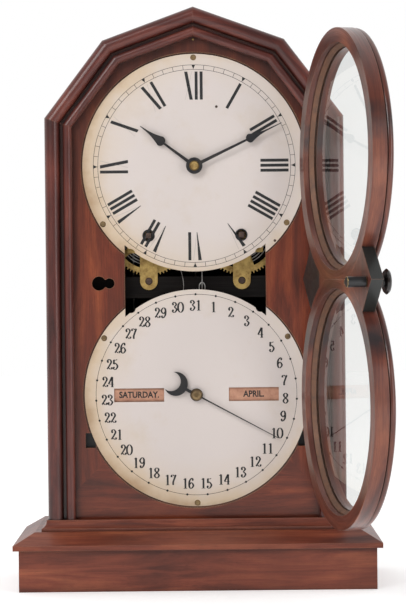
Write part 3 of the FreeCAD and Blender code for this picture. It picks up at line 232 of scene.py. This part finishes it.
def painted_dial(name, level, stain_angle, stain=0.7):
    """Old white paint, yellowed towards the rim and more on one side."""
    shade = Shade(name, **{"Specular IOR Level": 0.35})
    m = shade.math
    x, _, z = shade.split(shade.millimetres())
    up = m("SUBTRACT", z, level)
    out = shade.distance(x, up)
    cloud = shade.noise(shade.millimetres(), scale=0.03, detail=4, rough=0.6)
    speck = shade.noise(shade.millimetres(), scale=0.55, detail=3, rough=0.7)
    side = m("ADD", m("MULTIPLY", x, math.cos(stain_angle)), m("MULTIPLY", up, math.sin(stain_angle)))
    reach = m("ADD", out, m("ADD", m("MULTIPLY", cloud, 34.0), m("MULTIPLY", side, 0.14)))
    colour = shade.ramp(shade.level(reach, 80.0, 134.0),
                        (0.0, (0.635, 0.565, 0.535)), (0.42, (0.635, 0.550, 0.490)),
                        (0.72, (0.60, 0.47, 0.34)), (1.0, (0.38, 0.24, 0.13)))
    blots = shade.noise(shade.millimetres(), scale=0.014, detail=5, rough=0.7)
    colour = shade.mix(shade.level(blots, 0.56, 0.72, 0.0, 0.4 * stain), colour, (0.56, 0.44, 0.31))
    colour = shade.mix(shade.level(speck, 0.66, 0.76, 0.0, 0.28 * stain), colour, (0.42, 0.30, 0.18))
    shade.set(shade.bsdf, {"Base Color": colour, "Roughness": shade.level(cloud, 0.3, 0.7, 0.42, 0.6)})
    shade.bump(m("ADD", cloud, m("MULTIPLY", speck, 0.12)), 0.00015, 0.25)
    return shade.material


def aged_paper(name):
    """Brown, clouded paper."""
    shade = Shade(name, Roughness=0.85)
    cloud = shade.noise(shade.millimetres(), scale=0.16, detail=5, rough=0.65)
    fibre = shade.noise(shade.millimetres(), scale=2.4, detail=3)
    colour = shade.ramp(cloud, (0.3, (0.37, 0.175, 0.115)), (0.7, (0.55, 0.30, 0.20)))
    shade.set(shade.bsdf, {"Base Color": colour})
    shade.bump(fibre, 0.0001, 0.3)
    return shade.material


def clear_glass(name):
    """Thin old glass: clear, with a reflection that grows at a shallow angle."""
    shade = Shade(name)
    ripple = shade.noise(shade.millimetres(), scale=0.02, detail=1)
    wavy = shade.add("ShaderNodeBump", {"Height": ripple, "Distance": 0.0006, "Strength": 0.12}).outputs[0]
    through = shade.add("ShaderNodeBsdfTransparent", {"Color": (0.965, 0.975, 0.97)})
    mirror = shade.add("ShaderNodeBsdfGlossy", {"Roughness": 0.012, "Normal": wavy})
    share = shade.add("ShaderNodeFresnel", {"IOR": 1.5}).outputs[0]
    outside = shade.math("SUBTRACT", 1.0, shade.add("ShaderNodeNewGeometry").outputs["Backfacing"])
    both = shade.add("ShaderNodeMixShader", {0: shade.math("MULTIPLY", share, outside)})
    shade.tree.links.new(through.outputs[0], both.inputs[1])
    shade.tree.links.new(mirror.outputs[0], both.inputs[2])
    shade.tree.links.new(both.outputs[0], shade.tree.nodes["Material Output"].inputs[0])
    return shade.material


def ink(name, colour, under, fade):
    """Printed marks, rubbed in places to the colour under them."""
    shade = Shade(name, Roughness=0.5)
    rubbed = shade.noise(shade.millimetres(), scale=0.5, detail=4, rough=0.7)
    shade.set(shade.bsdf, {"Base Color": shade.mix(shade.level(rubbed, 0.6, 0.8, 0.0, fade), colour, under)})
    return shade.material


# ---- the finishes ----------------------------------------------------------------------------

RED = dict(dark=(0.024, 0.0050, 0.0040), middle=(0.105, 0.0205, 0.0140), light=(0.240, 0.056, 0.034))
BASE = dict(dark=(0.052, 0.0100, 0.0055), middle=(0.210, 0.046, 0.022), light=(0.370, 0.105, 0.046))
VENEER = dict(dark=(0.040, 0.0070, 0.0030), middle=(0.170, 0.029, 0.0095), light=(0.320, 0.070, 0.022))
DOOR = dict(dark=(0.026, 0.0060, 0.0045), middle=(0.130, 0.030, 0.0165), light=(0.310, 0.090, 0.040))


def shaded_top(shade):
    """Painted shadow of the peaked top: the panel is darker under it."""
    z = shade.split(shade.millimetres())[2]
    return shade.level(z, 300.0, 455.0, 0.0, 0.62)


def smudged(level):
    """Old dark handling marks on a door ring, at one level."""
    def mask(shade):
        z = shade.split(shade.millimetres())[2]
        near = shade.math("DIVIDE", shade.math("SUBTRACT", z, level), 17.0)
        soft = shade.math("SUBTRACT", 1.0, shade.math("MULTIPLY", near, near), clamp=True)
        cloud = shade.noise(shade.millimetres(), scale=0.05, detail=3)
        return shade.math("MULTIPLY", soft, shade.level(cloud, 0.3, 0.6, 0.2, 0.9))
    return mask


def facing(direction, low, high):
    """Which faces look along a direction or straight away from it, in the piece's own frame."""
    def mask(shade):
        normal = shade.add("ShaderNodeTexCoord").outputs["Normal"]
        return shade.level(shade.math("ABSOLUTE", shade.dot(normal, direction)), low, high)
    return mask


def sooted(shade):
    """Painted shade: the inner face of the back is black, for the shade inside the case."""
    normal = shade.add("ShaderNodeTexCoord").outputs["Normal"]
    return shade.level(shade.math("MULTIPLY", shade.split(normal)[1], -1.0), 0.4, 0.6)


def side_of(axis):
    return lambda shade: along_axis(shade, axis)


FINISHES = {
    "upright": wood("mahogany_upright", side_of("z"), **RED, coat=0.5, rough=0.34),
    "level": wood("mahogany_level", side_of("x"), **BASE, rough=0.42, coat=0.25, wear=0.85),
    "top": wood("mahogany_top", around_dial, **RED, coat=0.45, rough=0.34),
    # the panel's tint is a painted shadow, darker towards the peaked top
    "panel": wood("panel_veneer", mitred_panel, **VENEER, rough=0.36, coat=0.4, worn=(0.42, 0.24, 0.13),
                  wear=0.95, tint=(shaded_top, (0.040, 0.012, 0.008))),
    "door_up": wood("door_upper", lambda s: around_door(s, UPPER), **DOOR, rough=0.3, coat=0.6,
                    tint=(smudged(393.0), (0.010, 0.008, 0.010))),
    "door_low": wood("door_lower", lambda s: around_door(s, LOWER), **DOOR, rough=0.3, coat=0.6,
                     tint=(smudged(222.0), (0.010, 0.008, 0.010))),
    "beak": wood("door_waist", side_of("z"), **DOOR, rough=0.32, coat=0.5,
                 tint=(facing((-math.sin(DOOR_TURN), math.cos(DOOR_TURN), 0.0), 0.92, 0.86),
                       (0.010, 0.011, 0.010))),
    # the black tint on the back board's inner face is painted shade inside the case
    "pine": wood("pine", side_of("z"), dark=(0.20, 0.11, 0.055), middle=(0.33, 0.20, 0.10),
                 light=(0.44, 0.29, 0.16), rough=0.7, coat=0.0,
                 tint=(sooted, (0.006, 0.004, 0.003))),
    # painted shade: the seat rail is near black, standing for the shade inside the case
    "painted_shade_rail": wood("painted_shade_rail", side_of("x"), dark=(0.003, 0.002, 0.002), middle=(0.006, 0.004, 0.003),
                      light=(0.012, 0.008, 0.006), rough=0.8, coat=0.0, worn=(0.02, 0.014, 0.01)),
    "ebony": wood("ebony", side_of("z"), dark=(0.006, 0.004, 0.004), middle=(0.012, 0.008, 0.007),
                  light=(0.022, 0.014, 0.012), rough=0.2, coat=0.7, worn=(0.05, 0.03, 0.025), wear=0.4),
    "time_dial": painted_dial("time_dial", UPPER, math.radians(205)),
    "calendar_dial": painted_dial("calendar_dial", LOWER, math.radians(220), stain=0.8),
    "brass": metal("brass", (0.55, 0.38, 0.15), 0.38, (0.23, 0.14, 0.055)),
    "bright": metal("bright_brass", (0.52, 0.36, 0.13), 0.32, (0.22, 0.135, 0.05)),
    "gilt": metal("gilt_bead", (0.16, 0.075, 0.042), 0.4, (0.11, 0.062, 0.045), metallic=0.35),
    "barrel": edged("latch_brass", (0.008, 0.008, 0.009), (0.62, 0.43, 0.17)),
    "patina": metal("dark_brass", (0.30, 0.21, 0.11), 0.42, (0.10, 0.07, 0.045)),
    "rust": metal("dark_iron", (0.055, 0.032, 0.024), 0.5, (0.12, 0.075, 0.055), metallic=0.4),
    "steel": metal("steel", (0.38, 0.37, 0.36), 0.36, (0.15, 0.12, 0.10)),
    "black": metal("black_steel", (0.012, 0.012, 0.015), 0.34, (0.028, 0.024, 0.022), metallic=0.3),
    "japan": metal("black_iron", (0.010, 0.010, 0.011), 0.30, (0.028, 0.022, 0.02), metallic=0.2),
    "paper": aged_paper("drum_paper"),
    "glass": clear_glass("glass"),
}
PAINT = ink("dial_ink", (0.008, 0.008, 0.009), (0.30, 0.26, 0.22), 0.5)
WORN_PAINT = ink("worn_ink", (0.42, 0.38, 0.35), (0.66, 0.62, 0.57), 0.9)
LABEL = ink("label_ink", (0.010, 0.008, 0.007), (0.05, 0.035, 0.025), 0.3)

WEARS = {
    "level": ["plinth_boards", "base_top_board", "base_step_moulding"],
    "upright": ["side_boards", "stile_mouldings"],
    "top": ["roof_boards", "roof_moulding"],
    "panel": ["front_panel"],
    "pine": ["back_board"],
    "painted_shade_rail": ["seat_rail"],
    "time_dial": ["time_dial"],
    "calendar_dial": ["calendar_dial"],
    "brass": ["movement_back_plate", "time_second_wheel", "strike_second_wheel", "centre_wheel",
              "third_wheel", "escape_wheel", "strike_third_wheel", "strike_fly", "cannon_pinion",
              "minute_wheel", "hour_wheel", "hand_collet", "suspension_post", "pendulum_bob"],
    "patina": ["dial_screws", "date_wheel"],
    "barrel": ["latch_barrel"],
    "bright": ["movement_front_plate", "time_great_wheel", "strike_great_wheel"],
    "rust": ["foot_screws", "time_winding_arbor", "strike_winding_arbor"],
    "steel": ["movement_pillars", "mainsprings", "verge_and_crutch", "pendulum_rod", "strike_hammer",
              "gong", "trip_lever", "lift_wire", "hinge_pin"],
    "black": ["winding_grommets", "hour_hand", "minute_hand", "date_hand"],
    "japan": ["door_hinge_plate", "hinge_leaf_door", "hinge_leaf_case", "calendar_frame"],
    "paper": ["day_drum", "month_drum"],
    "glass": ["door_glass"],
    "gilt": ["door_glass_beads"],
    "door_up": ["door_upper_ring"],
    "door_low": ["door_lower_ring"],
    "beak": ["door_waist_blocks"],
    "ebony": ["latch_knob"],
}
for finish, names in WEARS.items():
    for node in names:
        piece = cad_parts[node]
        piece.data.materials.clear()
        piece.data.materials.append(FINISHES[finish])


# ---- meshes ----------------------------------------------------------------------------------

def make(name, vertices, faces, material, body):
    """A mesh in millimetres in the row frame, riding on a CAD body."""
    mesh = bpy.data.meshes.new(name)
    mesh.from_pydata([Vector(v) * MM for v in vertices], [], faces)
    mesh.update()
    mesh.materials.append(material)
    item = bpy.data.objects.new(name, mesh)
    bpy.context.scene.collection.objects.link(item)
    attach(item, body)


class Marks:
    """Flat marks gathered into one thin solid mesh, given as outlines in a dial's own plane."""

    def __init__(self, level):
        self.level, self.vertices, self.faces = level, [], []

    def outline(self, points):
        """A filled outline, right and up from the dial's centre."""
        area = sum(a[0] * b[1] - b[0] * a[1] for a, b in zip(points, points[1:] + points[:1]))
        if area < 0:
            points = points[::-1]
        first, count = len(self.vertices), len(points)
        for y in (DIAL_FACE - INK, DIAL_FACE):
            self.vertices += [(x, y, self.level + z) for x, z in points]
        self.faces.append([first + i for i in range(count)])
        self.faces.append([first + count + i for i in reversed(range(count))])
        for i in range(count):
            j = (i + 1) % count
            self.faces.append([first + j, first + i, first + count + i, first + count + j])

    def strip(self, left, right):
        """A ribbon between two edges, filled one short piece at a time."""
        for i in range(len(left) - 1):
            self.outline([left[i], left[i + 1], right[i + 1], right[i]])

    def ring(self, radius, steps=180):
        """A printed circle."""
        inner, outer = radius - INK_LINE / 2, radius + INK_LINE / 2
        turn = [2 * math.pi * i / steps for i in range(steps + 1)]
        self.strip([(inner * math.sin(a), inner * math.cos(a)) for a in turn],
                   [(outer * math.sin(a), outer * math.cos(a)) for a in turn])

    def disc(self, x, z, radius, steps=20):
        turn = [2 * math.pi * i / steps for i in range(steps)]
        self.outline([(x + radius * math.sin(a), z + radius * math.cos(a)) for a in turn])

    def build(self, name, material, body, slot):
        make(name, self.vertices, self.faces, material, body)


def placed(points, angle, radius):
    """Points given right and outward at a clock angle in degrees, as points on the dial."""
    a = math.radians(angle)
    return [(x * math.cos(a) + (radius + z) * math.sin(a), -x * math.sin(a) + (radius + z) * math.cos(a))
            for x, z in points]


# Roman numerals: each letter gives its thick strokes, its thin strokes and its width, in mm to the
# right and outward
TALL, BAR, LETTER_GAP = 24.7, 2.6, 1.8
NUMERAL_FOOT = 58.2
MINUTE_INNER, MINUTE_TALL = 84.8, 4.0


def letter_i(x):
    return [[(x, 0), (x + BAR, 0), (x + BAR, TALL), (x, TALL)]], [], BAR


def letter_v(x):
    thick = [(x, TALL), (x + 3.1, TALL), (x + 4.3, 0.0), (x + 3.8, 0.0)]
    thin = [(x + 4.0, 0.0), (x + 4.25, 0.0), (x + 7.4, TALL), (x + 7.05, TALL)]
    return [thick], [thin], 7.4


def letter_x(x):
    thick = [(x, TALL), (x + 2.8, TALL), (x + 7.4, 0), (x + 4.6, 0)]
    thin = [(x + 0.6, 0), (x + 0.85, 0), (x + 6.9, TALL), (x + 6.6, TALL)]
    return [thick], [thin], 7.4


LETTERS = {"I": letter_i, "V": letter_v, "X": letter_x}
NUMERALS = ["XII", "I", "II", "III", "IIII", "V", "VI", "VII", "VIII", "IX", "X", "XI"]


def time_art():
    numerals, worn = Marks(UPPER), Marks(UPPER)
    for hour, text in enumerate(NUMERALS):
        thick, thin, x = [], [], 0.0
        for letter in text:
            bold, fine, wide = LETTERS[letter](x)
            thick, thin, x = thick + bold, thin + fine, x + wide + LETTER_GAP
        middle = (x - LETTER_GAP) / 2
        for marks, strokes in ((numerals, thick), (worn, thin)):
            for stroke in strokes:
                marks.outline(placed([(a - middle, b) for a, b in stroke], hour * 30,
                                     NUMERAL_FOOT))
    numerals.build("time_numerals", PAINT, "case", "time_dial")
    worn.build("time_numeral_hairlines", WORN_PAINT, "case", "time_dial")

    track = Marks(UPPER)
    track.ring(MINUTE_INNER)
    track.ring(MINUTE_INNER + MINUTE_TALL)
    for minute in range(60):
        line = [(-0.19, 0), (0.19, 0), (0.19, MINUTE_TALL), (-0.19, MINUTE_TALL)]
        track.outline(placed(line, minute * 6, MINUTE_INNER))
        if minute % 5 == 0:
            track.outline(placed([(0, 0.4), (1.6, 3.9), (-1.6, 3.9)], minute * 6, MINUTE_INNER))
    track.build("minute_track", PAINT, "case", "time_dial")

    nails = Marks(UPPER)
    for angle, radius in ((21.0, 55.6), (133.3, 96.6)):
        (x, z), = placed([(0, 0)], angle, radius)
        nails.disc(x, z, 1.2)
    nails.build("dial_nail_heads", FINISHES["rust"], "case", "steel")


# Figures: strokes as points on a smooth line in a box one unit tall, then round ends
FIGURES = {
    "0": ([[(0.28, 0.98), (0.065, 0.74), (0.065, 0.26), (0.28, 0.02), (0.495, 0.26), (0.495, 0.74),
            (0.28, 0.98)]], []),
    "1": ([[(0.29, 0.98), (0.29, 0.02)], [(0.12, 0.025), (0.46, 0.025)],
           [(0.11, 0.86), (0.22, 0.90), (0.29, 0.97)]], []),
    "2": ([[(0.12, 0.72), (0.14, 0.90), (0.29, 0.98), (0.455, 0.76), (0.31, 0.44), (0.07, 0.07)],
           [(0.07, 0.10), (0.22, 0.15), (0.36, 0.06), (0.48, 0.08), (0.50, 0.24)]], [(0.145, 0.73)]),
    "3": ([[(0.11, 0.76), (0.14, 0.92), (0.28, 0.98), (0.435, 0.77), (0.25, 0.54)],
           [(0.25, 0.54), (0.47, 0.30), (0.29, 0.02), (0.12, 0.08), (0.10, 0.22)]],
          [(0.135, 0.77), (0.13, 0.22)]),
    "4": ([[(0.39, 0.97), (0.39, 0.02)], [(0.37, 0.97), (0.04, 0.29)], [(0.04, 0.29), (0.54, 0.29)],
           [(0.25, 0.025), (0.52, 0.025)]], []),
    "5": ([[(0.13, 0.52), (0.14, 0.94)], [(0.14, 0.94), (0.30, 0.90), (0.45, 0.96)],
           [(0.13, 0.52), (0.26, 0.62), (0.475, 0.33), (0.29, 0.02), (0.12, 0.08), (0.10, 0.20)]],
          [(0.13, 0.20)]),
    "6": ([[(0.45, 0.84), (0.33, 0.98), (0.12, 0.74), (0.075, 0.40), (0.12, 0.12), (0.28, 0.02),
            (0.475, 0.29), (0.29, 0.57), (0.10, 0.38)]], [(0.42, 0.82)]),
    "7": ([[(0.08, 0.76), (0.10, 0.92), (0.22, 0.97), (0.36, 0.88), (0.49, 0.97)],
           [(0.49, 0.97), (0.33, 0.55), (0.24, 0.28), (0.24, 0.02)]], []),
    "8": ([[(0.28, 0.98), (0.12, 0.86), (0.15, 0.66), (0.42, 0.38), (0.46, 0.20), (0.28, 0.02), (0.08, 0.18),
            (0.12, 0.38), (0.40, 0.66), (0.43, 0.86), (0.28, 0.98)]], []),
}
FIGURES["9"] = ([[(0.56 - x, 1 - z) for x, z in line] for line in FIGURES["6"][0]],
                [(0.56 - x, 1 - z) for x, z in FIGURES["6"][1]])


def smooth(points, steps=7):
    """A curve through the points."""
    ends = [points[0]] + points + [points[-1]]
    if points[0] == points[-1]:
        ends = [points[-2]] + points + [points[1]]
    line = []
    for a, b, c, d in zip(ends, ends[1:], ends[2:], ends[3:]):
        for i in range(steps):
            t = i / steps
            line.append(tuple(0.5 * (2 * q + (r - p) * t + (2 * p - 5 * q + 4 * r - s) * t * t
                                     + (3 * q - p - 3 * r + s) * t ** 3)
                              for p, q, r, s in zip(a, b, c, d)))
    return line + [points[-1]]


def figure_strokes(marks, text, x, z, tall):
    """A number in upright figures with thick stems and thin level strokes, centred on x and z."""
    advance, thin, swell, ball = 0.57, 0.022, 0.066, 0.088
    left = x - advance * tall * len(text) / 2
    for place, digit in enumerate(text):
        start = left + place * advance * tall
        lines, balls = FIGURES[digit]
        for line in lines:
            path = smooth(line) if len(line) > 2 else [line[0], line[-1]]
            edges = ([], [])
            for i, (a, b) in enumerate(path):
                before, after = path[max(i - 1, 0)], path[min(i + 1, len(path) - 1)]
                dx, dz = after[0] - before[0], after[1] - before[1]
                run = math.hypot(dx, dz) or 1.0
                half = thin + swell * (abs(dz) / run) ** 1.5
                for edge, sign in zip(edges, (1, -1)):
                    edge.append((start + (a - sign * dz / run * half) * tall,
                                 z - tall / 2 + (b + sign * dx / run * half) * tall))
            marks.strip(*edges)
        for a, b in balls:
            marks.disc(start + a * tall, z - tall / 2 + b * tall, ball * tall, 12)


def calendar_art():
    days, date_radius, date_tall, track_radius = 31, 78.6, 9.3, 88.4
    dates = Marks(LOWER)
    for day in range(1, days + 1):
        a = math.radians(360.0 * day / days)
        figure_strokes(dates, str(day), date_radius * math.sin(a), date_radius * math.cos(a), date_tall)
    dates.build("date_figures", PAINT, "case", "calendar_dial")
    track = Marks(LOWER)
    track.ring(track_radius)
    for day in range(days):
        (x, z), = placed([(0, 0)], 360.0 * day / days, track_radius)
        track.disc(x, z, 1.0, 12)
    track.build("date_track", PAINT, "case", "calendar_dial")


# ---- drum labels -----------------------------------------------------------------------------

def drum_labels(name, words, side, radius, axis_y, body, shown):
    """Words printed round a drum, spaced evenly, with the shown word to the front.

    The letters are cut into level bands, so that they follow the drum's curve.
    """
    size, bold, widest, narrowing, lift, band = 7.6, 0.24, 37.0, 0.88, 0.05, 0.8
    vertices, faces = [], []
    for place, word in enumerate(words):
        curve = bpy.data.curves.new(name + "_text", "FONT")
        curve.body, curve.size, curve.resolution_u, curve.offset = word, size, 3, bold
        curve.align_x, curve.align_y = "CENTER", "CENTER"
        text = bpy.data.objects.new(name + "_text", curve)
        bpy.context.scene.collection.objects.link(text)
        sliced = bmesh.new()
        sliced.from_mesh(text.to_mesh())
        for step in range(-4, 5):
            bmesh.ops.bisect_plane(sliced, geom=sliced.verts[:] + sliced.edges[:] + sliced.faces[:],
                                   plane_co=(0, step * band, 0), plane_no=(0, 1, 0))
        sliced.verts.index_update()
        corners = [vertex.co.copy() for vertex in sliced.verts]
        wide = max(c.x for c in corners) - min(c.x for c in corners)
        squeeze = min(narrowing, widest / wide)
        angle = 2 * math.pi * (place - words.index(shown)) / len(words)
        first = len(vertices)
        for c in corners:
            turn = angle + c.y / radius
            reach = radius + lift
            vertices.append((side * WINDOW_SIDE + c.x * squeeze, axis_y - reach * math.cos(turn),
                             LOWER + reach * math.sin(turn)))
        faces += [[first + vertex.index for vertex in face.verts] for face in sliced.faces]
        sliced.free()
        text.to_mesh_clear()
        bpy.data.objects.remove(text)
        bpy.data.curves.remove(curve)
    make(name, vertices, faces, LABEL, body)


DAYS = ["SUNDAY.", "MONDAY.", "TUESDAY.", "WEDNESDAY.", "THURSDAY.", "FRIDAY.", "SATURDAY."]
MONTHS = ["JANUARY.", "FEBRUARY.", "MARCH.", "APRIL.", "MAY.", "JUNE.", "JULY.", "AUGUST.", "SEPTEMBER.",
          "OCTOBER.", "NOVEMBER.", "DECEMBER."]


# ---- small pieces ----------------------------------------------------------------------------

def wire(name, points, radius, material, body, sides=8):
    """A round wire along a smooth line, closed at both ends."""
    path = [Vector(p) for p in points]
    vertices, faces = [], []
    for i, point in enumerate(path):
        ahead = (path[min(i + 1, len(path) - 1)] - path[max(i - 1, 0)]).normalized()
        across = ahead.cross(Vector((0, 1, 0))).normalized()
        other = ahead.cross(across)
        for k in range(sides):
            a = 2 * math.pi * k / sides
            vertices.append(tuple(point + radius * (across * math.cos(a) + other * math.sin(a))))
    for i in range(len(path) - 1):
        for k in range(sides):
            a, b = i * sides + k, i * sides + (k + 1) % sides
            faces.append([a, b, b + sides, a + sides])
    faces += [list(range(sides))[::-1], [len(vertices) - sides + k for k in range(sides)]]
    make(name, vertices, faces, material, body)


def fittings():
    """The hook under the lift wire, a loose thread at the waist and a nail at the top of the panel."""
    hook = [(5.9 + 2.6 * math.sin(t), -25.4, 262.0 + 4.5 * math.cos(t)) for t in
            [math.radians(a) for a in range(-115, 116, 10)]]
    wire("lift_wire_hook", hook, 0.45, FINISHES["steel"], "lift_wire")
    thread = [(-12.7 + 2.2 * math.sin(i / 24 * 2.6), -25.0, 277.0 - i * 0.9) for i in range(25)]
    wire("waist_thread", thread, 0.22, FINISHES["steel"], "case")
    profile = [(0.0, -0.55), (0.5, -0.5), (0.85, -0.25), (0.9, 0.0)]
    vertices, faces, steps = [], [], 16
    for radius, y in profile:
        for k in range(steps):
            a = 2 * math.pi * k / steps
            vertices.append((radius * math.cos(a), PANEL_FRONT + y, 480.0 + radius * math.sin(a)))
    for ring in range(len(profile) - 1):
        for k in range(steps):
            a, b = ring * steps + k, ring * steps + (k + 1) % steps
            faces.append([a, b, b + steps, a + steps])
    make("panel_nail", vertices, faces, FINISHES["bright"], "case")


time_art()
calendar_art()
drum_labels("day_labels", DAYS, -1, 13.4, -18.5, "day_drum", "SATURDAY.")
drum_labels("month_labels", MONTHS, 1, 22.9, -9.0, "month_drum", "APRIL.")
fittings()


# ---- floor, light and camera -----------------------------------------------------------------

floor_mesh = bpy.data.meshes.new("floor")
floor_mesh.from_pydata([(-4, -4, 0), (4, -4, 0), (4, 4, 0), (-4, 4, 0)], [], [[0, 1, 2, 3]])
floor_paint = Shade("floor_paint", **{"Base Color": (0.95, 0.95, 0.95), "Roughness": 0.95,
                                      "Emission Color": (1.0, 1.0, 1.0), "Emission Strength": 0.3})
floor_mesh.materials.append(floor_paint.material)
floor = bpy.data.objects.new("floor", floor_mesh)
bpy.context.scene.collection.objects.link(floor)

world = bpy.data.worlds.new("studio")
world.use_nodes = True
sky = world.node_tree
background = sky.nodes["Background"]
heading = sky.nodes.new("ShaderNodeSeparateXYZ")
sky.links.new(sky.nodes.new("ShaderNodeTexCoord").outputs["Generated"], heading.inputs[0])
# dim in front of the clock, so that its faces reflect little, and white beside and behind it
fall = sky.nodes.new("ShaderNodeMapRange")
sky.links.new(heading.outputs[1], fall.inputs[0])
front, beside, dim, white = -0.55, 0.1, 0.24, 1.0
for socket, value in zip(list(fall.inputs)[1:5], (front, beside, dim, white)):
    socket.default_value = value
sky.links.new(fall.outputs[0], background.inputs[1])
background.inputs[0].default_value = (1.0, 1.0, 1.0, 1.0)
bpy.context.scene.world = world


def softbox(name, place, target, wide, tall, power):
    lamp = bpy.data.lights.new(name, "AREA")
    lamp.shape, lamp.size, lamp.size_y, lamp.energy = "RECTANGLE", wide, tall, power
    item = bpy.data.objects.new(name, lamp)
    item.location = place
    item.rotation_euler = (Vector(target) - Vector(place)).to_track_quat("-Z", "Y").to_euler()
    bpy.context.scene.collection.objects.link(item)


softbox("key", (-1.1, -1.9, 1.5), (0, 0, 0.28), 1.1, 1.1, 27.0)
softbox("fill", (1.5, -1.5, 0.6), (0.1, 0, 0.25), 0.8, 1.3, 12.0)

lens = bpy.data.cameras.new("camera")
lens.lens, lens.sensor_width, lens.sensor_fit = 125.0, 36.0, "AUTO"
lens.dof.use_dof = False
camera = bpy.data.objects.new("camera", lens)
look_down, tilt = math.radians(0.77), math.radians(-0.57)
turn = Matrix.Rotation(math.pi / 2 - look_down, 4, "X") @ Matrix.Rotation(tilt, 4, "Z")
camera.matrix_world = Matrix.Translation((0.0065, -1.894, 0.272)) @ turn
bpy.context.scene.collection.objects.link(camera)
bpy.context.scene.camera = camera
bpy.context.scene.view_settings.view_transform = "Standard"
